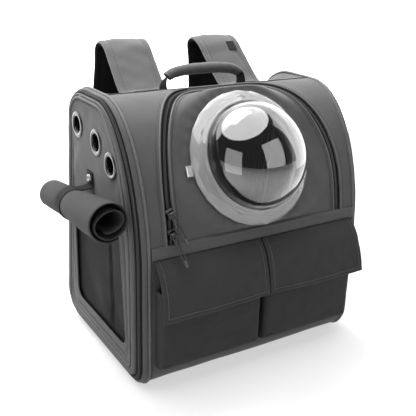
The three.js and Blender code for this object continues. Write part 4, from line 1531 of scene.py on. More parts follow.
@dataclass
class Window:
    """The bubble: a cut acrylic bezel, the dome, the black clamp behind the cloth and a latch."""

    shop: Workshop
    looks: Finishes
    form: BagForm
    rise: float = 14.0
    dome_rise: float = 55.0
    dome_wall: float = 2.2
    facets: int = 24

    def lathe(self, section: Array, count: int) -> Array:
        """Turns [radius, out] points round the ring's axis.

        Args:
            section: (K, 2) points.
            count: Number of steps round the axis.

        Returns:
            (count, K, 3) grid.
        """
        t = np.linspace(0, 2 * np.pi, count, endpoint=False)[:, None]
        radius, out = section[:, 0], section[:, 1]
        return self.form.on_ring(radius * np.cos(t), radius * np.sin(t), out + 0 * t)

    def bezel(self) -> None:
        """The cut ring: every other row of points is turned by half a facet, which makes diamonds."""
        radius, hole = self.form.ring_radius, self.form.ring_hole
        rows = (
            (radius - 1.0, 0.6, 0.0),
            (radius, 3.2, 0.0),
            (radius - 3.6, 7.6, 0.5),
            (radius - 8.0, 10.2, 0.0),
            (radius - 11.0, 11.4, 0.5),
        )
        t = np.arange(self.facets) / self.facets * 2 * np.pi
        grid = []
        for r, out, turn in rows:
            a = t + turn * 2 * np.pi / self.facets
            grid.append(self.form.on_ring(r * np.cos(a), r * np.sin(a), np.full_like(a, out)))
        cut = np.stack(grid)
        self._cut_ring(cut)
        section = np.array(
            [
                [radius - 10.6, 1.0],
                [radius - 10.6, 11.6],
                [radius - 12.4, 12.6],
                [hole + 4.2, 13.4],
                [hole + 2.4, self.rise + 0.9],
                [hole + 0.9, self.rise + 0.9],
                [hole + 0.1, self.rise - 0.2],
                [hole + 0.1, 1.0],
            ]
        )
        collar = Patch(np.swapaxes(self.lathe(section, 160), 0, 1), wrap_rows=True, wrap_cols=True)
        self.shop.piece("window_collar", [collar], [self.looks.ring], "clear_plastic", sharp=35)

    def _cut_ring(self, cut: Array) -> None:
        """Makes the cut part as flat triangles between rows that are turned by half a facet each.

        Args:
            cut: (rows, facets, 3) points, from the ring's foot inwards.
        """
        rows, count = cut.shape[:2]
        foot = cut[-1].copy()
        foot += self.form.ring_out * (0.8 - 11.4)
        points = np.concatenate([cut.reshape(-1, 3), foot])
        i = np.arange(count)
        j = (i + 1) % count
        faces = []
        for r in range(rows):
            a, b = r * count, (r + 1) * count
            if r in (1, 3):
                faces += [np.stack([a + i, a + j, b + i], -1), np.stack([a + j, b + j, b + i], -1)]
            elif r == 2:
                faces += [np.stack([a + i, b + j, b + i], -1), np.stack([a + i, a + j, b + j], -1)]
            else:
                faces += [np.stack([a + i, a + j, b + j], -1), np.stack([a + i, b + j, b + i], -1)]
        last = rows * count
        faces += [np.stack([last + i, last + j, j], -1), np.stack([last + i, j, i], -1)]
        triangles = np.concatenate(faces)
        corner = points[triangles] - points.mean(0)
        if np.einsum("ij,ij->i", corner[:, 0], np.cross(corner[:, 1], corner[:, 2])).sum() < 0:
            triangles = triangles[:, ::-1]
        mesh = bpy.data.meshes.new("window_bezel")
        mesh.from_pydata((points * MM).tolist(), [], triangles.tolist())
        mesh.materials.append(self.looks.ring)
        mesh.update(calc_edges=True)
        made = bpy.data.objects.new("window_bezel", mesh)
        bpy.context.scene.collection.objects.link(made)
        edge = made.modifiers.new("edge", "BEVEL")
        edge.width = 0.25 * MM
        edge.segments = 1
        edge.limit_method = "ANGLE"
        edge.angle_limit = math.radians(6)
        self.shop.book(made, "clear_plastic", ("window_ring",))

    def dome(self) -> None:
        """The bubble: an ellipsoid cap on a short straight rim, outer and inner face."""
        radius = self.form.ring_hole * math.cos(math.pi / self.facets) - 0.35
        t = np.linspace(0, np.pi / 2 - 0.004, 64)

        def cap(r: float, h: float) -> Array:
            """A quarter of an ellipse as [radius, out] points, from the rim to the top."""
            return np.stack([r * np.cos(t), self.rise + h * np.sin(t)], -1)

        wall = self.dome_wall
        outer = chain([[radius, 1.0]], cap(radius, self.dome_rise))
        inner = chain([[radius - wall, 1.0]], cap(radius - wall, self.dome_rise - wall))
        rim = np.array([[radius - wall * 0.5, 0.6]])
        section = chain(outer[::-1], rim, inner)
        grid = self.lathe(section, 180)
        self.shop.piece(
            "bubble_dome", [Patch(np.swapaxes(grid, 0, 1), wrap_cols=True, caps=True)], [self.looks.dome],
            "clear_plastic", ("window_dome",), sharp=60
        )

    def clamp(self) -> None:
        """The clamp ring behind the cloth, with a chamfer on its outer edge."""
        top = -2.95
        inner, outer = self.form.ring_hole - 5.2, self.form.ring_radius - 9
        section = np.array(
            [
                [inner, top - 4],
                [outer - 0.8, top - 4],
                [outer, top - 3.2],
                [outer, top],
                [inner, top],
                [inner, top - 1],
            ]
        )
        grid = np.swapaxes(self.lathe(section, 120), 0, 1)
        self.shop.piece(
            "window_clamp_ring", [Patch(grid, wrap_rows=True, wrap_cols=True)], [self.looks.black_plastic],
            "black_plastic", ("window_clamp",)
        )

    def build(self) -> None:
        """Builds the window."""
        self.bezel()
        self.dome()
        self.clamp()
        self.shop.from_node("window_latch", self.looks.ring, "black_plastic", 0.5)


@dataclass
class Pockets:
    """The band, the two pockets and their flaps."""

    shop: Workshop
    looks: Finishes
    form: BagForm
    sewing: Seamstress
    band_top: float = 193.0
    band_height: float = 15.0
    foot: float = 34.0
    top: float = 140.0
    depth: float = 17.0
    outer: float = 146.0
    split: float = 7.0
    drop: float = 66.0
    flap_outer: float = 149.0
    flap_wall: float = 2.4
    gap: float = 0.35

    def band(self) -> None:
        """The folded band across the front, with a stitch line under its top fold."""
        form = self.form
        low = form.length_at("foot_end", "crest", 1, self.band_top - self.band_height)
        high = form.door_low - self.gap
        x = np.linspace(-form.panel_half, form.panel_half, 200)
        v = np.linspace(-1, 1, 34)
        turned = np.sign(v) * (1 - (1 - np.abs(v)) ** 1.6)
        s = (low + high) / 2 + (high - low) / 2 * turned
        crown = 0.45 + 2.3 * (1 - turned**8) ** 0.5
        stitch_dip = 0.5 * dent(s - (high - 3.0), 0.8)
        gx, gs = np.meshgrid(x, s)
        lift = (crown - stitch_dip)[:, None] + 0.15 * ripple(gx, gs, 60.0, 31)
        self.shop.piece(
            "pocket_band_cloth",
            [Patch(form.on_bag(gx, gs, lift))],
            [self.looks.cloth, self.looks.cloth],
            "body_cloth",
            ("pocket_band",),
            wall=0.5,
            facing=Facing.AWAY,
        )
        level = np.full_like(x, high - 3.0)
        path = form.on_bag(x, level, 2.45)
        row = self.sewing.stitches(path, form.out_of(x, level), 3.4, 2.2, 0.36)
        self.shop.piece("band_stitching", [row], [self.looks.thread], "webbing")

    def pocket(self, side: Side) -> None:
        """A boxed pocket.

        The first parameter runs round its plan, side wall, front and other side wall, and the second down
        it. Near the foot the plan shrinks back to the panel, and each bottom corner is pinched by a pleat.
        """
        left, right = self.split / 2, self.outer
        corner = 7.0
        t = np.linspace(0, np.pi / 2, 12)
        front = -125.0 - self.gap
        depth = self.depth
        plan = chain(
            [[left, front]],
            np.stack([left + corner - corner * np.cos(t), front - depth + corner - corner * np.sin(t)], -1),
            np.stack([right - corner + corner * np.sin(t), front - depth + corner - corner * np.cos(t)], -1),
            [[right, front]],
        )
        plan = resample(plan, 150)
        middle = (left + right) / 2
        v = np.linspace(0, 1, 90)
        curl = smooth((v - 0.93) / 0.07)
        z = self.top - (self.top - self.foot) * v
        round_in = 1 - np.sqrt(np.clip(1 - np.clip((v - 0.925) / 0.075, 0, 1) ** 2, 0, 1))
        px, py = plan[:, 0][None], plan[:, 1][None]
        zz = z[:, None] + 0 * px
        out = front - py
        back_off = round_in[:, None] * 0.985
        y = front - out * (1 - back_off)
        x = middle + (px - middle) * (1 - 0.012 * smooth((v[:, None] - 0.85) / 0.15))
        face = smooth((out - depth * 0.7) / (depth * 0.3))
        share = np.clip((px - left) / (right - left), 0, 1)
        bulge = 1.3 * np.sin(np.pi * v)[:, None] * np.sin(np.pi * share)
        wrinkle = 0.55 * ripple(px, zz, 48.0, 41 + side.value) + 0.3 * ripple(px, zz, 20.0, 43 + side.value)
        pleat = np.zeros_like(zz)
        for edge_x, sign in ((left, 1.0), (right, -1.0)):
            run = (px - edge_x) * sign
            pleat += dent(zz - self.foot - 9.0 - 0.12 * run, 1.1) * smooth((17 - run) / 8)
        y = y - face * (bulge - 0.6 + wrinkle * (1 - curl[:, None])) + face * 1.9 * pleat
        grid = np.stack([side.value * x, y, zz], -1)
        self.shop.piece(
            f"{side.word}_pocket_cloth",
            [Patch(grid, wear=0.35 * pleat * face)],
            [self.looks.dark, self.looks.lining],
            "dark_cloth",
            (f"{side.word}_pocket",),
            wall=1.6,
            facing=Facing.AWAY,
        )

    def flap_point(self, side: Side, u: Array, w: Array, lift: Any) -> Array:
        """A point of a flap, u from the middle of the bag outwards and w down the flap.

        It stands out from the panel like an awning: the distance out follows a curve of the drop, grows
        towards the outer corner, and swells a little in the middle.
        """
        drops = np.array([0.0, 0.1, 0.28, 0.55, 0.8, 1.0])
        outs = np.array([0.0, 8.0, 15.5, 22.0, 25.0, 26.5])
        fine = np.linspace(0, 1, 200)
        curve = np.interp(fine, drops, outs)
        kernel = np.hanning(31)
        padded = np.concatenate([2 * curve[0] - curve[15:0:-1], curve, 2 * curve[-1] - curve[-2:-17:-1]])
        curve = np.convolve(padded, kernel / kernel.sum(), "valid")
        out = np.interp(w, fine, curve - curve[0] * (1 - fine))
        reach = out * (1 + 0.12 * u * u * w) + 3 * np.sin(np.pi * u) * w
        z = self.band_top - self.band_height - 1 - self.drop * w
        s = np.interp(z, [157.0, 178.0], [0.0, 1.0])
        panel = -125.0 + 0.62 * np.maximum(s, 0) ** 2
        x = 0.8 + (self.flap_outer - 0.8) * u + 3 * u * w * w
        return np.stack(np.broadcast_arrays(side.value * x, panel - self.gap - lift - reach, z), -1)

    def flap_uneven(self, side: Side, u: Array, w: Array) -> Array:
        """Unevenness of a flap, fading towards its top edge.

        Args:
            side: Which flap.
            u: Share across it.
            w: Share down it.

        Returns:
            How far the cloth stands out.
        """
        x, z = u * self.flap_outer, w * 70
        return smooth(w / 0.2) * (0.55 * ripple(x, z, 52.0, 51 + side.value) + 0.25 * ripple(x, z, 20.0, 53))

    def flap(self, side: Side) -> None:
        """A flap with a turned hem: a closed slab, thicker at its hem, with a stitch line inside it."""
        u = np.linspace(0, 1, 130)
        w = np.linspace(0, 1, 70)
        uu, ww = np.meshgrid(u, w)
        width = self.flap_outer
        edge = np.minimum(np.minimum(uu, 1 - uu) * width, (1 - ww) * self.drop * 1.06)
        hem = 0.5 * smooth((6.5 - edge) / 1.5)
        groove = 0.35 * dent(edge - 6.0, 0.8)
        rounded = 1.1 * dent(edge, 0.9)
        uneven = self.flap_uneven(side, uu, ww)
        face = self.flap_point(side, uu, ww, self.flap_wall - 0.4 + hem - groove - rounded + uneven)
        under = self.flap_point(side, uu, ww, 0.15 + rounded * 0.6 + uneven)
        loop = np.concatenate([face, under[::-1]], 0)
        wear = np.concatenate([0.5 * np.exp(-edge / 1.5), np.zeros_like(edge)], 0)
        made = self.shop.piece(
            f"{side.word}_flap_cloth",
            [Patch(loop, wrap_rows=True, wear=wear)],
            [self.looks.dark],
            "dark_cloth",
            (f"{side.word}_pocket_flap",),
            sharp=70,
        )
        self.shop.close_ends(made)
        fine = np.linspace(0, 1, 160)
        inset = 6.0 / width
        foot = 1 - 6.0 / (self.drop * 1.06)
        sides = [
            (np.full(160, inset), fine * foot),
            (inset + fine * (1 - 2 * inset), np.full(160, foot)),
            (np.full(160, 1 - inset), (1 - fine) * foot),
        ]
        rows = []
        for su, sw in sides:
            lift = self.flap_wall - 0.1 + self.flap_uneven(side, su, sw)
            path = self.flap_point(side, su, sw, lift)
            out = unit(self.flap_point(side, su, sw, lift + 1.0) - path)
            below = self.flap_point(side, su, np.minimum(sw + 0.02, 1), lift)
            down = unit(below - self.flap_point(side, su, np.maximum(sw - 0.02, 0), lift))
            across = np.array([1.0, 0.0, 0.0])
            normal = unit(np.cross(across, down))
            normal = np.where((normal * out).sum(-1, keepdims=True) < 0, -normal, normal)
            rows.append(self.sewing.stitches(path, normal, 3.4, 2.2, 0.36))
        self.shop.piece(f"{side.word}_flap_stitching", rows, [self.looks.thread], "webbing")

    def build(self) -> None:
        """Builds the band, pockets and flaps."""
        self.band()
        for side in Side:
            self.pocket(side)
            self.flap(side)


@dataclass
class Gussets:
    """The side gussets with their zippers, between a front piping and a side piping."""

    shop: Workshop
    looks: Finishes
    form: BagForm
    sewing: Seamstress
    bead: float = 2.0
    gap: float = 0.35

    def face(self, t: Array, inset: Array) -> tuple[Array, Array]:
        """The gusset's face, t from the front piping to the side piping: a cubic Bezier in x and out.

        Args:
            t: Share across the gusset.
            inset: How far its side piping lies inside the profile.

        Returns:
            Distance from the middle, and distance out of the profile.
        """
        start, end = self.form.seam_x + self.bead + self.gap, self.form.side_face
        xs = (start, start + 6.0, end + 0.1, end)
        outs = (0.0 * inset, -0.1 * inset, -0.45 * inset, self.bead + self.gap - inset)
        weights = ((1 - t) ** 3, 3 * t * (1 - t) ** 2, 3 * t * t * (1 - t), t**3)
        return sum(w * v for w, v in zip(weights, xs)), sum(w * v for w, v in zip(weights, outs))

    def point(self, side: Side, s: Array, t: Array, lift: Array) -> Array:
        """A point on the gusset, lifted along its face's own normal.

        Args:
            side: Which gusset.
            s: Length along the profile.
            t: Share across the gusset.
            lift: Height above its face.

        Returns:
            Points, with a last axis of three.
        """
        inset = self.form.inset(s)
        x, out = self.face(t, inset)
        x1, out1 = self.face(np.clip(t + 0.01, 0, 1), inset)
        x0, out0 = self.face(np.clip(t - 0.01, 0, 1), inset)
        dx, do = x1 - x0, out1 - out0
        size = np.hypot(dx, do)
        x = x - lift * do / size
        out = out + lift * dx / size
        y, z = self.form.on_profile(s, out)
        return np.stack([side.value * x, y, z], -1)

    def build(self) -> None:
        """Builds both gussets."""
        for side in Side:
            self.gusset(side)

    def gusset(self, side: Side) -> None:
        """One side: two cloth bands with turned edges, tape and coil between them, and both pipings."""
        s = self.form.s[:, None]
        bands = []
        for low, high, turned_edge in ((0.0, 0.33, 1.0), (0.67, 1.0, 0.0)):
            t = np.linspace(low, high, 14)[None]
            share = (t - low) / (high - low)
            puff = np.sin(np.pi * share) ** 0.7
            fold = -1.6 * dent(share - turned_edge, 0.09)
            uneven = 0.18 * ripple(s * np.ones_like(t), t * 60 + 0 * s, 30.0, 61)
            grid = self.point(side, s + 0 * t, t + 0 * s, puff + fold + uneven)
            bands.append(Patch(grid, wrap_rows=True))
        self.shop.piece(
            f"{side.word}_gusset_cloth",
            bands,
            [self.looks.cloth, self.looks.lining],
            "body_cloth",
            (f"{side.word}_gusset",),
            wall=1.8,
            facing=Facing.AWAY,
        )
        t = np.linspace(0.3, 0.7, 9)[None]
        tape = self.point(side, s + 0 * t, t + 0 * s, -0.9 + 0 * s + 0 * t)
        self.shop.piece(
            f"{side.word}_gusset_tapes",
            [Patch(tape, wrap_rows=True)],
            [self.looks.tape],
            "zipper",
            (f"{side.word}_gusset_zipper",),
            wall=0.8,
            facing=Facing.AWAY,
        )
        fine = np.linspace(0, self.form.girth, 2900, endpoint=False)
        middle = self.point(side, fine, np.full_like(fine, 0.5), -0.8)
        out = unit(self.point(side, fine, np.full_like(fine, 0.5), 1.0) - middle)
        coil = self.sewing.coil(middle, out, 4.4, 1.7, True)
        self.shop.piece(f"{side.word}_gusset_coil", [coil], [self.looks.coil], "zipper")
        at = self.form.s
        for place, x, out in (
            ("front", self.form.seam_x, 0.0),
            ("side", self.form.side_face, -self.form.inset(at)),
        ):
            y, z = self.form.on_profile(at, out)
            path = np.stack([np.full_like(y, side.value * x), y, z], -1)
            cord = self.sewing.cord(path, np.array([1.0, 0.0, 0.0]), self.bead, True)
            node = f"{side.word}_{place}_piping"
            self.shop.piece(f"{side.word}_{place}_cord", [cord], [self.looks.piping], "piping", (node,))


@dataclass
class SidePanels:
    """The side panels with their net windows, eyelets and covers."""

    shop: Workshop
    looks: Finishes
    form: BagForm
    sewing: Seamstress
    front: float = -88.0
    back: float = 70.0
    foot: float = 48.0
    top: float = 198.0
    corner: float = 16.0
    lean: float = 12.0
    eyelet_radius: float = 17.0
    eyelet_hole: float = 10.5
    eyelets: tuple[tuple[str, float, float], ...] = (
        ("rear", 46.0, 301.0),
        ("middle", -13.0, 292.0),
        ("front", -54.0, 274.0),
    )

    def window(self, grow: float, count: int) -> Array:
        """The net window's outline as (y, z) points, with round corners and a leaning front edge.

        Args:
            grow: Distance outside the window's edge.
            count: Number of points.

        Returns:
            (count, 2) points.
        """
        a, b = self.front - grow, self.back + grow
        low, high = self.foot - grow, self.top + grow
        r = self.corner + grow
        t = np.linspace(0, np.pi / 2, 16)

        def turn(cy: float, cz: float, start: float) -> Array:
            """A round corner about a centre, from the angle start."""
            return np.stack([cy + r * np.cos(start + t), cz + r * np.sin(start + t)], -1)

        outline = chain(
            turn(b - r, high - r, 0.0),
            turn(a + self.lean + r, high - r, np.pi / 2),
            turn(a + r, low + r, np.pi),
            turn(b - r, low + r, 1.5 * np.pi),
        )
        return resample(chain(outline, outline[:1]), count + 1)[:-1]

    def outline(self, gap: float) -> Array:
        """The side panel's outline as (y, z) points, inside its piping."""
        y, z = self.form.on_profile(self.form.s, -(self.form.inset(self.form.s) + gap))
        return np.stack([y, z], -1)

    def crown(self, y: Array, z: Array) -> Array:
        """Outward swell of the panel, with drags from the eyelets and the snap.

        Args:
            y: Depth.
            z: Height.

        Returns:
            How far the cloth stands out.
        """
        swell = 1.6 * dent(y + 5, 70) * dent(z - 262, 48)
        return swell + 0.5 * ripple(y, z, 70.0, 71) + 0.22 * ripple(y, z, 26.0, 72)

    def panel(self, side: Side) -> None:
        """The panel's cloth: the first parameter runs round the window, the second from it to the outline."""
        centre = np.array([(self.front + self.back) / 2 + 4, 150.0])
        angle = np.linspace(0, 2 * np.pi, 720, endpoint=False)
        edge = self.outline(2.0)
        inner = reach_to(self.window(0.0, 4000), centre, angle)
        outer = reach_to(resample(chain(edge, edge[:1]), 4000), centre, angle)
        v = np.linspace(0, 1, 64)
        radius = inner[:, None] + (outer - inner)[:, None] * v
        y = centre[0] + radius * np.cos(angle)[:, None]
        z = centre[1] + radius * np.sin(angle)[:, None]
        from_window = radius - inner[:, None]
        from_edge = outer[:, None] - radius
        fade = smooth(from_window / 14) * smooth(from_edge / 14)
        fold = 0.8 * dent(from_window - 4.5, 4.0) - 0.9 * dent(from_window - 10.5, 0.9)
        lip = 0.6 * dent(from_edge - 4.0, 3.5) - 0.6 * dent(from_edge - 9.0, 0.9)
        x = self.form.side_face - 0.2 + fade * self.crown(y, z) + fold * 0.8 + lip
        keep = np.ones(y.shape, bool)
        for _, ey, ez in self.eyelets:
            distance = np.hypot(y - ey, z - ez)
            keep &= distance > 12.4
            near = dent(distance, 20.0)
            x = x * (1 - near) + (self.form.side_face + 0.1) * near
        grid = np.stack([side.value * x, y, z], -1)
        self.shop.piece(
            f"{side.word}_side_cloth",
            [Patch(grid, wrap_rows=True, keep=keep)],
            [self.looks.cloth, self.looks.lining],
            "body_cloth",
            (f"{side.word}_side_panel",),
            wall=1.8,
            facing=Facing.AWAY,
        )

    def net(self, side: Side) -> None:
        """The net: a sheet behind the window that hangs slack, with one upright fold."""
        y, z = spread((self.front - 5, self.foot - 5), (self.back + 5, self.top + 5), (90, 90))
        edge = rim_distance(y, z)
        seam = -36.0 + (z - 120) * 0.05
        fold = 1.8 * dent(y - seam, 1.6) - 1.6 * dent(y - seam - 4, 2.5)
        slack = smooth(edge / 40) * (2.2 + 0.9 * ripple(y, z, 55.0, 81))
        x = self.form.side_face - 3.3 - slack + fold * smooth(edge / 12)
        self.shop.piece(
            f"{side.word}_net_knit",
            [Patch(np.stack([side.value * x, y, z], -1))],
            [self.looks.net],
            "net",
            (f"{side.word}_window_net",),
            wall=0.5,
            facing=Facing.AWAY,
        )
        rim = self.window(0.2, 460)
        face = side.value * (self.form.side_face - 0.3)
        path = np.stack([np.full(len(rim), face), rim[:, 0], rim[:, 1]], -1)
        cord = self.sewing.cord(path, np.array([1.0, 0.0, 0.0]), 1.2, True)
        self.shop.piece(f"{side.word}_window_binding", [cord], [self.looks.piping], "piping")

    def eyelet(self, side: Side, place: str, y: float, z: float) -> None:
        """An eyelet: a rolled metal ring, turned about X, with its barrel and the washer behind.

        Args:
            side: Which side panel.
            place: The eyelet's name.
            y: Depth of its middle.
            z: Height of its middle.
        """
        rim, hole = self.eyelet_radius, self.eyelet_hole
        t = np.linspace(0, np.pi, 14)
        mid, half = (rim + hole) / 2, (rim - hole) / 2
        roll = np.stack([mid + half * np.cos(t), 0.3 + 2.0 * np.sin(t) ** 0.8], -1)
        barrel = [
            [hole, -3.0],
            [hole + 0.6, -3.8],
            [rim - 2, -3.8],
            [rim - 2, -3.1],
            [hole + 1.4, -3.1],
            [hole + 1.4, 0.2],
            [rim, 0.2],
        ]
        section = chain(roll[::-1], barrel)
        a = np.linspace(0, 2 * np.pi, 72, endpoint=False)[None]
        radius, out = section[:, :1], section[:, 1:]
        x = side.value * (self.form.side_face + out + 0 * a)
        grid = np.stack([x, y + radius * np.cos(a), z + radius * np.sin(a)], -1)
        self.shop.piece(
            f"{side.word}_{place}_eyelet_ring",
            [Patch(grid, wrap_rows=True, wrap_cols=True)],
            [self.looks.black_metal],
            "dark_metal",
            (f"{side.word}_eyelet_{place}",),
            sharp=50,
        )

    def flat_cover(self) -> None:
        """The right window's cover, hanging flat with a stitched hem."""
        y, z = spread((self.front - 2, self.foot - 6), (self.back + 3, self.top + 8), (110, 110))
        edge = rim_distance(y, z)
        hem = 0.5 * smooth((8 - edge) / 1.5) - 0.3 * dent(edge - 7.5, 0.8) - dent(edge, 0.8)
        x = self.form.side_face + 2.3 + hem + 0.5 * smooth(edge / 20) * ripple(y, z, 60.0, 91)
        made = self.shop.piece(
            "right_cover_cloth",
            [Patch(np.stack([x, y, z], -1))],
            [self.looks.dark],
            "dark_cloth",
            ("right_flat_cover",),
            wall=1.6,
            facing=Facing.AWAY,
        )

    def build(self) -> None:
        """Builds both sides."""
        for side in Side:
            self.panel(side)
            self.net(side)
            for place, y, z in self.eyelets:
                self.eyelet(side, place, y, z)
        self.flat_cover()


@dataclass
class RolledCover:
    """The left window's cover, rolled up and held by a strap with a snap."""

    shop: Workshop
    looks: Finishes
    form: BagForm
    front: float = -108.0
    back: float = 78.0
    front_radius: float = 25.0
    back_radius: float = 19.0
    front_height: float = 227.0
    back_height: float = 203.0
    turns: float = 2.15
    wall: float = 2.0
    strap_y: float = 7.0
    strap_width: float = 17.0
    strap_wall: float = 1.6
    snap_radius: float = 6.0
    snap_height: float = 239.0

    @property
    def axis_x(self) -> float:
        """X of the roll's axis."""
        return -(self.form.side_face + self.front_radius + 1.2)

    def radius(self, y: Array) -> Array:
        """The roll's radius along it, pinched under the strap."""
        share = (y - self.front) / (self.back - self.front)
        plain = np.interp(share, [0, 0.25, 0.6, 1.0], [self.front_radius, 23.2, 20.2, self.back_radius])
        return plain - 1.5 * dent(y - self.strap_y, 16)

    def height(self, y: Array) -> Array:
        """The height of the roll's axis along it."""
        share = (y - self.front) / (self.back - self.front)
        return self.front_height + (self.back_height - self.front_height) * share

    def roll(self) -> None:
        """The cloth: a loose spiral whose inner turn is drawn out like a drop, closed round its thickness."""
        count = 190
        t = np.linspace(0, 1, count)
        angle = math.radians(-62) - t * self.turns * 2 * np.pi
        shrink = 1 - 0.36 * smooth(t * 1.15) * t**0.6
        y = np.linspace(self.front, self.back, 90)
        radius = self.radius(y)[:, None]
        loose = np.interp(y, [self.front, self.front + 60, self.back], [1.0, 0.65, 0.5])[:, None]
        drop = smooth((t - 0.5) / 0.2)[None] * loose

        def layer(lift: float) -> Array:
            """One face of the cloth, a distance inside its outer face."""
            r = radius * shrink - lift
            x = r * np.cos(angle) + drop * 0.06 * radius
            up = r * np.sin(angle) * (1 - 0.2 * drop) + drop * 0.1 * radius * np.cos(angle)
            sag = 0.24 * ripple(y[:, None] + 0 * t, 5 * angle[None] + 0 * y[:, None], 60.0, 101)
            z = self.height(y)[:, None] + up + sag
            return np.stack([self.axis_x + x, np.broadcast_to(y[:, None], x.shape), z], -1)

        edge = 0.7 * dent(y - self.front, 1.0)[:, None, None]
        outer, inner = layer(0.0), layer(self.wall)
        middle = (outer + inner) / 2
        outer = outer * (1 - edge) + middle * edge
        inner = inner * (1 - edge) + middle * edge
        loop = np.concatenate([outer, inner[:, ::-1]], 1)
        made = self.shop.piece(
            "left_cover_roll",
            [Patch(loop, wrap_cols=True)],
            [self.looks.dark],
            "dark_cloth",
            ("left_rolled_cover",),
            sharp=75,
        )
        self.shop.close_ends(made)

    def strap(self) -> None:
        """The strap from its snap round the outside of the roll to the panel below."""
        hug = float(self.radius(np.array(self.strap_y))) + self.strap_wall / 2 + 0.3
        z0 = float(self.height(np.array(self.strap_y)))
        near = -(self.form.side_face + self.strap_wall / 2 + 1.2)
        t = np.radians(np.linspace(66, 268, 26))
        arc = np.stack([self.axis_x + hug * np.cos(t), z0 + hug * np.sin(t)], -1)
        snap = self.snap_height
        tab = [[near, snap + 12], [near, snap + 2], [near - 0.5, snap - 7]]
        route = chain(tab, arc, [[near - 1.5, z0 - hug - 5], [near, z0 - hug - 15]])
        path = spline(np.stack([route[:, 0], np.full(len(route), self.strap_y), route[:, 1]], -1), 160)
        section = ellipse(self.strap_width / 2, self.strap_wall / 2, 20, 0.4)
        grid = sweep(path, np.cross(tangents(path), [0.0, 1.0, 0.0]), section)
        self.shop.piece(
            "left_roll_strap",
            [Patch(grid, wrap_cols=True, caps=True)],
            [self.looks.webbing],
            "webbing",
            ("left_cover_strap",),
            sharp=60,
        )

    def snap(self) -> None:
        """The snap: a turned button with a rolled rim and a dimple."""
        r = self.snap_radius
        dimple = [[0.02, 1.3], [1.6, 1.4], [2.4, 1.9]]
        section = chain(dimple, [[3.4, 2.1], [4.6, 1.9], [5.6, 1.4], [r, 0.7], [r, 0.1], [0.02, 0.0]])
        a = np.linspace(0, 2 * np.pi, 48, endpoint=False)[None]
        radius, out = section[:, :1], section[:, 1:]
        x = -(self.form.side_face + self.strap_wall + 1.25) - out + 0 * a
        z = self.snap_height + 2 + radius * np.sin(a)
        grid = np.stack([x, self.strap_y + radius * np.cos(a), z], -1)
        self.shop.piece(
            "left_snap_button",
            [Patch(grid, wrap_cols=True, caps=True)],
            [self.looks.bright_metal],
            "dark_metal",
            ("left_cover_snap",),
            sharp=50,
        )

    def build(self) -> None:
        """Builds the roll, strap and snap."""
        self.strap()
        self.roll()
        self.snap()


@dataclass
class Handle:
    """The carrying handle: a padded grip on two webbing tapes."""

    shop: Workshop
    looks: Finishes
    form: BagForm
    sewing: Seamstress
    half: float = 58.0
    y: float = 21.0
    lift: float = 34.0
    radius: float = 6.8
    share: float = 0.72
    width: float = 22.0
    wall: float = 1.8

    def __post_init__(self) -> None:
        """Finds the handle's place on the top panel."""
        self.s = self.form.length_at("arch_start", "back_start", 0, self.y)
        self.foot = float(self.form.on_bag(self.half, self.s, 0.0)[2])

    def point(self, u: Array) -> Array:
        """The handle's middle line, u from -1 at the left foot to 1: a flattened arch."""
        x = self.half * np.sin(u * np.pi / 2) * 1.04
        z = self.foot + self.lift * np.sqrt(np.clip(1 - np.abs(u) ** 2.6, 0, 1))
        return np.stack([x, np.full_like(u, self.y), z], -1)

    def grip(self) -> None:
        """The wrapped grip: an oval section with a lapped seam below, and cuffs that flare at its ends."""
        u = self.share * np.sin(np.linspace(-np.pi / 2, np.pi / 2, 110))
        path = self.point(u)
        ends = np.abs(u) / self.share
        t = np.linspace(0, 2 * np.pi, 48, endpoint=False)[None]
        swell = (1 - 0.16 * ends**3 + 0.06 * dent(1 - ends, 0.05))[:, None]
        lap = 0.9 * dent(t - 1.5 * np.pi, 0.16)
        wrinkle = 0.02 * ripple(u[:, None] * 60 + 0 * t, t * 6 + 0 * u[:, None], 9.0, 111)
        section = np.stack(
            [
                self.radius * 1.15 * swell * (1 + wrinkle) * np.cos(t),
                (self.radius * swell * (1 + wrinkle) + lap) * np.sin(t),
            ],
            -1,
        )
        grid = sweep(path, np.array([0.0, 0.0, 1.0]), section)
        made = self.shop.piece(
            "handle_grip_wrap",
            [Patch(grid, wrap_cols=True, caps=True)],
            [self.looks.cloth],
            "body_cloth",
            ("handle_grip",),
            sharp=60,
        )

    def tape(self, side: Side) -> None:
        """One tape: out of the grip's end, down to the panel, and flat along it."""
        form = self.form
        inside = self.share - 0.04
        route = [self.point(np.array(side.value * k)) for k in (inside, 0.8, 0.87, 0.93, 0.985)]
        lie = 0.35 + self.wall / 2 + 1.5
        first, *flat = [form.on_bag(side.value * (self.half + d), self.s, lie) for d in (3.0, 9.0, 20.0)]
        route += [first + [0, 0, 3.0], *flat]
        path = spline(np.stack(route), 70)
        middle = side.value * (self.half + 12)
        across = unit(form.on_bag(middle, self.s + 10, 0.0) - form.on_bag(middle, self.s - 10, 0.0))
        section = ellipse(self.wall / 2, self.width / 2, 20, 0.45)
        squeeze = np.interp(np.arange(70), [0, 14, 30, 69], [0.62, 0.72, 0.95, 1.0])
        wide = section[None] * np.stack([np.ones(70), squeeze], -1)[:, None]
        grid = sweep(path, across, wide)
        self.shop.piece(
            f"handle_{side.word}_webbing",
            [Patch(grid, wrap_cols=True, caps=True)],
            [self.looks.webbing],
            "webbing",
            (f"handle_{side.word}_tape",),
            sharp=60,
        )

    def build(self) -> None:
        """Builds the handle."""
        self.grip()
        for side in Side:
            self.tape(side)


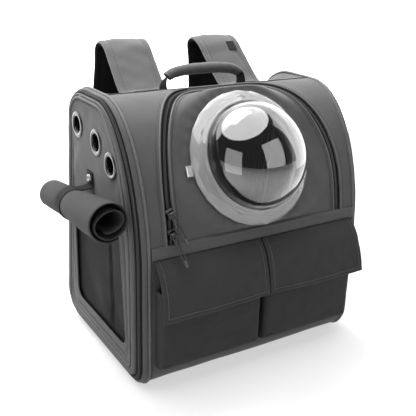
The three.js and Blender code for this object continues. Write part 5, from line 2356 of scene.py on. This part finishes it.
@dataclass
class Straps:
    """The padded shoulder straps with their webbing, adjusters and the bare label."""

    shop: Workshop
    looks: Finishes
    form: BagForm
    sewing: Seamstress
    x: float = 72.0
    foot_x: float = 96.0
    foot_y: float = 36.0
    width: float = 68.0
    wall: float = 9.0
    apex_rise: float = 43.0
    apex_back: float = -6.0
    gap: float = 22.0
    pad_end: float = 128.0
    web_foot: float = 52.0
    web_width: float = 25.0
    web_wall: float = 1.8
    binding: float = 9.0

    def route(self) -> Array:
        """The strap's middle line as (y, z) points: sewn to the top, over its apex, down behind the back."""
        form = self.form
        s = form.length_at("arch_start", "back_start", 0, self.foot_y)
        lift = 0.35 + self.wall / 2 + 1.5
        first = form.on_bag(self.x + self.width / 2, s, lift)
        second = form.on_bag(self.x + self.width / 2, s + 12, lift)
        apex_z, apex_y = form.crest_height + self.apex_rise, form.depth / 2 + self.apex_back
        back = self.back_line()
        return np.array(
            [
                [first[1], first[2]],
                [second[1], second[2]],
                [apex_y - 34, apex_z - 22],
                [apex_y - 15, apex_z - 5],
                [apex_y, apex_z],
                [apex_y + 13, apex_z - 7],
                [back, apex_z - 31],
                [back + 3, apex_z - 80],
                [back + 1, (apex_z + self.pad_end) / 2],
                [back, self.pad_end + 50],
                [back - 1, self.pad_end],
            ]
        )

    def back_line(self) -> float:
        """Depth at which the strap hangs behind the back."""
        return self.form.depth / 2 + self.gap - self.form.back_lean * 0.5

    def across_at(self, z: Array) -> Array:
        """How far from the middle the strap lies at a height."""
        apex = self.form.crest_height + self.apex_rise
        share = np.clip((apex - z) / (apex - self.web_foot), 0, 1)
        return self.x + (self.foot_x - self.x) * share

    def strap(self, side: Side) -> None:
        """The padded strap: its section is a slim pillow between two flat bindings, darker underneath."""
        flat = spline(self.route(), 240)
        path = np.stack([side.value * self.across_at(flat[:, 1]), flat[:, 0], flat[:, 1]], -1)
        half, wall = self.width / 2, self.wall / 2
        u = np.linspace(-1, 1, 61)
        edge = (1 - np.abs(u)) * half
        ends = np.minimum(np.arange(240), np.arange(240)[::-1]) / 239
        full = (0.55 + 0.45 * smooth(ends / 0.05))[:, None]
        pillow = smooth((edge - self.binding) / 12)
        groove = dent(edge - self.binding, 1.1)
        rounded = np.sqrt(np.clip(1 - (1 - np.clip(edge / 2.4, 0, 1)) ** 2, 0, 1))
        top = (wall * (0.66 + 0.34 * pillow) - 0.9 * groove) * rounded * full
        run = ends[:, None] * 600
        seed = 121 + side.value
        uneven = 0.35 * smooth(edge / 12) * ripple(u[None] * half + 0 * run, run, 40.0, seed)
        high = np.stack([np.broadcast_to(u * half, top.shape), top + uneven], -1)
        low = np.stack([np.broadcast_to(u * half, top.shape), -top * 0.96], -1)
        over = np.broadcast_to(np.array([1.0, 0.0, 0.0]), path.shape)
        rise = unit(np.cross(over, tangents(path)))
        upper, lower = (
            path[:, None] + face[..., :1] * over[:, None] + face[..., 1:] * rise[:, None]
            for face in (high, low)
        )
        made = self._two_faced(f"{side.word}_strap_pad", upper, lower, (f"{side.word}_shoulder_strap",))
        rows = []
        for k in (-1, 1):
            for inset in (self.binding - 1.8, self.binding + 1.6):
                at = k * (half - inset)
                lift = np.interp(at, u * half, top[120]) + 0.05
                line = path + at * over + (lift * full[:, 0] / full[120, 0])[:, None] * rise
                wave = 0.35 * smooth(np.array(inset / 12)) * ripple(np.full(240, at), run[:, 0], 40.0, seed)
                line = line + wave[:, None] * rise
                rows.append(self.sewing.stitches(line, rise, 3.8, 2.5, 0.4))
        self.shop.piece(f"{side.word}_strap_stitching", rows, [self.looks.thread], "webbing")

    def _two_faced(self, name: str, upper: Array, lower: Array, nodes: Sequence[str]) -> bpy.types.Object:
        """A closed pad with one cloth above and another below.

        Args:
            name: The piece's name.
            upper: Grid of its upper face.
            lower: Grid of its lower face, of the same shape.
            nodes: CAD nodes that it stands for.

        Returns:
            The object.
        """
        rows, cols = upper.shape[:2]
        loop = np.concatenate([upper, lower[:, ::-1]], 1)
        made = self.shop.piece(
            name,
            [Patch(loop, wrap_cols=True, caps=True)],
            # The upper face takes the strap cloth, painted paler than the body's cloth as painted light on
            # the straps' tops; the lower face takes the lining.
            [self.looks.strap, self.looks.lining],
            "body_cloth",
            nodes,
            sharp=75,
        )
        cells = np.arange((rows - 1) * 2 * cols) % (2 * cols)
        slots = np.zeros(len(made.data.polygons), np.int32)
        slots[: len(cells)] = (cells >= cols).astype(np.int32)
        made.data.polygons.foreach_set("material_index", slots)
        return made

    def label(self) -> None:
        """The small label on the right strap, left bare."""
        self.shop.from_node("strap_label", self.looks.webbing, "webbing", 0.25)

    def back_at(self, z: float, lift: float) -> float:
        """Depth of the back panel at a height, lifted off it.

        Args:
            z: The height.
            lift: Distance off the panel.

        Returns:
            The depth.
        """
        y, _ = self.form.on_profile(np.array(self.form.length_at("back_start", "heel_end", 1, z)), lift)
        return float(y)

    def webbing(self, side: Side) -> None:
        """The webbing from the strap through its adjuster to the foot of the back."""
        adjuster = self.pad_end - 24
        back = self.back_line()
        lie = 0.35 + self.web_wall / 2 + 0.3
        points = [
            [back - 1, self.pad_end + 2],
            [back - 2, adjuster + 10],
            [back - 2, adjuster - 10],
            [self.back_at(self.web_foot + 22, lie + 7), self.web_foot + 22],
            [self.back_at(self.web_foot + 6, lie), self.web_foot + 6],
            [self.back_at(self.web_foot - 10, lie), self.web_foot - 10],
        ]
        flat = resample(spline(points, 90), 90)
        path = np.stack([side.value * self.across_at(flat[:, 1]), flat[:, 0], flat[:, 1]], -1)
        section = ellipse(self.web_width / 2, self.web_wall / 2, 20, 0.4)
        rise = np.cross(tangents(path), [1.0, 0.0, 0.0])
        grid = sweep(path, rise, section)
        self.shop.piece(
            f"{side.word}_webbing",
            [Patch(grid, wrap_cols=True, caps=True)],
            [self.looks.webbing],
            "webbing",
            (f"{side.word}_strap_webbing",),
            sharp=60,
        )

    def build(self) -> None:
        """Builds both straps."""
        for side in Side:
            self.strap(side)
            self.webbing(side)
            self.shop.from_node(f"{side.word}_strap_adjuster", self.looks.black_plastic, "black_plastic", 0.6)
        self.label()


@dataclass
class Pulls:
    """The two sliders and the slotted pulls that hang on them."""

    shop: Workshop
    looks: Finishes
    form: BagForm
    length: float = 41.0
    width: float = 5.5
    wall: float = 1.8
    pin_out: float = 6.5
    pin_x: float = -125.35

    def frame_of(self, z: float, lean: float, swing: float) -> tuple[Array, Array, Array, Array]:
        """The pull's frame: its pin's place and direction, down along the pull, and into the bag.

        Args:
            z: Height of the pin.
            lean: Turn of the pin about the way out, in degrees.
            swing: Swing of the pull out of the bag, in degrees.

        Returns:
            The pin's place and direction, the way down the pull, and the way into the bag.
        """
        s = np.array(self.form.length_at("foot_end", "crest", 1, z))
        y0, z0 = self.form.on_profile(s, self.pin_out)
        y1, z1 = self.form.on_profile(s, self.pin_out + 1)
        out = unit(np.array([0.0, float(y1 - y0), float(z1 - z0)]))
        pin = self._turn(np.array([1.0, 0.0, 0.0]), out, math.radians(lean))
        down = self._turn(unit(np.cross(pin, out)), pin, math.radians(-swing))
        return np.array([self.pin_x, float(y0), float(z0)]), pin, down, np.cross(pin, down)

    @staticmethod
    def _turn(v: Array, axis: Array, angle: float) -> Array:
        """Turns a vector about a unit axis.

        Args:
            v: The vector.
            axis: The axis.
            angle: Angle in radians.

        Returns:
            The turned vector.
        """
        c, s = math.cos(angle), math.sin(angle)
        return v * c + np.cross(axis, v) * s + axis * float(axis @ v) * (1 - c)

    def pull(self, name: str, z: float, lean: float, swing: float) -> None:
        """One pull: a rounded bar led round a long slot, a solid tail, and a knuckle round the pin.

        Args:
            name: Which pull.
            z: Height of its pin.
            lean: Turn of the pin, in degrees.
            swing: Swing of the pull, in degrees.
        """
        centre, pin, down, into = self.frame_of(z, lean, swing)
        half = self.width / 2 - 0.75
        top, foot = 3.4, self.length - 2.2
        t = np.linspace(0, np.pi, 12)
        loop = chain(
            np.stack([half * np.cos(t), top - 0.8 * np.sin(t)], -1),
            np.stack([-half * np.cos(t), foot + half * np.sin(t)], -1),
        )
        loop = resample(chain(loop, loop[:1]), 121)[:-1]
        path = centre + loop[:, :1] * pin + loop[:, 1:] * down
        bar = sweep(path, into, ellipse(0.78, self.wall / 2, 10, 0.6), True)
        a = np.linspace(0, 2 * np.pi, 28, endpoint=False)
        end = self.width / 2
        rows = ((-end, 1.35), (-end, 2.0), (0.3 - end, 2.2), (end - 0.3, 2.2), (end, 2.0), (end, 1.35))
        turn = np.cos(a)[:, None] * down + np.sin(a)[:, None] * into
        knuckle = np.stack([centre + place * pin + radius * turn for place, radius in rows])
        section = ellipse(half * 0.98, self.wall / 2 * 0.85, 16, 0.5) @ np.stack([pin, into])
        tail_rows = np.linspace(self.length - 8.5, self.length - 1.4, 9)
        tail = np.stack([centre + v * down + section for v in tail_rows])
        self.shop.piece(
            f"{name}_pull_bar",
            [
                Patch(bar, wrap_rows=True, wrap_cols=True),
                Patch(knuckle, wrap_rows=True, wrap_cols=True),
                Patch(tail, wrap_cols=True, caps=True),
            ],
            [self.looks.black_metal],
            "dark_metal",
            (f"{name}_pull",),
            body=f"{name}_pull",
            sharp=50,
        )

    def build(self) -> None:
        """Builds pulls and sliders."""
        for name, z, lean, swing in (("upper", 229.0, 19.0, 13.0), ("lower", 206.0, 13.0, 19.0)):
            self.pull(name, z, lean, swing)
            self.shop.from_node(f"{name}_slider", self.looks.black_metal, "dark_metal", 0.45)



@dataclass
class Studio:
    """Floor, lights and the camera at the photograph's angle."""

    azimuth: float = -32.0
    elevation: float = 20.9
    roll: float = 1.74
    lens: float = 58.93
    distance: float = 944.0
    aim: tuple[float, float, float] = (-3.0, -5.0, 176.5)

    def camera(self) -> None:
        """Places the camera: its right and up are turned about its own axis by the roll."""
        a, e, r = (math.radians(v) for v in (self.azimuth, self.elevation, self.roll))
        ahead = -np.array([math.sin(a) * math.cos(e), -math.cos(a) * math.cos(e), math.sin(e)])
        right = unit(np.cross(ahead, [0.0, 0.0, 1.0]))
        up = np.cross(right, ahead)
        turned_right = math.cos(r) * right + math.sin(r) * up
        turned_up = -math.sin(r) * right + math.cos(r) * up
        eye = np.array(self.aim) - ahead * self.distance
        data = bpy.data.cameras.new("camera")
        data.lens = self.lens
        data.sensor_width = 36.0
        data.clip_start = 0.05
        data.clip_end = 50.0
        made = bpy.data.objects.new("camera", data)
        bpy.context.scene.collection.objects.link(made)
        matrix = Matrix.Identity(4)
        for k, column in enumerate((turned_right, turned_up, -ahead, eye * MM)):
            for row in range(3):
                matrix[row][k] = float(column[row])
        made.matrix_world = matrix
        bpy.context.scene.camera = made

    def floor(self) -> None:
        """A pale floor, and behind the bag a pale backdrop that curves up from it."""
        size = 6.0
        mesh = bpy.data.meshes.new("floor")
        corners = [(-size, -size, 0), (size, -size, 0), (size, size, 0), (-size, size, 0)]
        mesh.from_pydata(corners, [], [(0, 1, 2, 3)])
        self._stage("floor", mesh, Paper("floor_paper", 0.3, 0.55))
        ahead = math.radians(90.0 + self.azimuth)
        turn = np.linspace(ahead - 1.5, ahead + 1.5, 40)[None]
        bend = np.linspace(-np.pi / 2, 0, 12)
        radius = np.concatenate([1.2 + 0.5 * np.cos(bend), [1.7]])[:, None]
        height = np.concatenate([0.502 + 0.5 * np.sin(bend), [2.6]])[:, None]
        grid = np.stack([radius * np.cos(turn), radius * np.sin(turn), height + 0 * turn], -1)
        quads, _ = Patch(grid / MM).quads()
        mesh = bpy.data.meshes.new("backdrop")
        mesh.from_pydata(grid.reshape(-1, 3).tolist(), [], quads.tolist())
        self._stage("backdrop", mesh, Paper("backdrop_paper", 0.5, 1.0))

    @staticmethod
    def _stage(name: str, mesh: bpy.types.Mesh, paper: Paper) -> None:
        """Adds a stage object of a paper.

        Args:
            name: The object's name.
            mesh: Its mesh.
            paper: Its finish.
        """
        mesh.materials.append(paper.make())
        made = bpy.data.objects.new(name, mesh)
        bpy.context.scene.collection.objects.link(made)
        made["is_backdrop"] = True

    def light(
        self,
        name: str,
        place: Sequence[float],
        target: Sequence[float],
        size: tuple[float, float],
        power: float,
        oval: bool = False,
        mirrored: bool = True,
    ) -> None:
        """A soft box, turned to its target.

        Args:
            name: The light's name.
            place: Its middle, in metres.
            target: What it faces, in metres.
            size: Its width and height, in metres.
            power: Its power, in watts.
            oval: Whether it is oval instead of rectangular.
            mirrored: Whether glossy surfaces show it.
        """
        data = bpy.data.lights.new(name, "AREA")
        data.shape = "ELLIPSE" if oval else "RECTANGLE"
        data.size, data.size_y = size
        data.energy = power
        made = bpy.data.objects.new(name, data)
        bpy.context.scene.collection.objects.link(made)
        made.visible_glossy = mirrored
        made.location = place
        made.rotation_euler = (Vector(target) - Vector(place)).to_track_quat("-Z", "Y").to_euler()

    def world(self, level: float) -> None:
        """An even white surround."""
        world = bpy.data.worlds.new("surround")
        world.use_nodes = True
        back = world.node_tree.nodes["Background"]
        back.inputs[0].default_value = (1, 1, 1, 1)
        back.inputs[1].default_value = level
        bpy.context.scene.world = world

    def build(self) -> None:
        """Builds the studio."""
        self.camera()
        self.floor()
        self.world(0.1)
        bubble = (0.0, -0.1, 0.29)
        self.light("top_box", (-0.33, 0.3, 1.49), (-0.33, 0.3, 0.0), (2.2, 2.4), 50.0, True)
        self.light("left_box", (-0.70, -0.38, 0.33), bubble, (0.56, 0.62), 1.7)
        self.light("right_box", (0.45, -1.34, 0.75), bubble, (0.96, 1.1), 6.5)
        self.light("top_fill", (-0.15, 0.75, 1.55), (0.0, 0.0, 0.3), (1.0, 1.0), 70.0, mirrored=False)
        bpy.context.scene.view_settings.view_transform = "Standard"


def main() -> None:
    logging.basicConfig(level=logging.INFO, format="%(name)s: %(message)s")
    shop = Workshop()
    Studio().build()
    looks = Finishes()
    form = BagForm()
    sewing = Seamstress(shop, looks, form)
    parts: list[Any] = [
        Shell(shop, looks, form, sewing),
        Door(shop, looks, form, sewing),
        Window(shop, looks, form),
        Pockets(shop, looks, form, sewing),
        Gussets(shop, looks, form, sewing),
        SidePanels(shop, looks, form, sewing),
        RolledCover(shop, looks, form),
        Handle(shop, looks, form, sewing),
        Straps(shop, looks, form, sewing),
        Pulls(shop, looks, form),
    ]
    for part in parts:
        part.build()
        LOG.info("%s is built", type(part).__name__)
    LOG.info("%d pieces", shop.count)


if __name__ == "__main__":
    main()
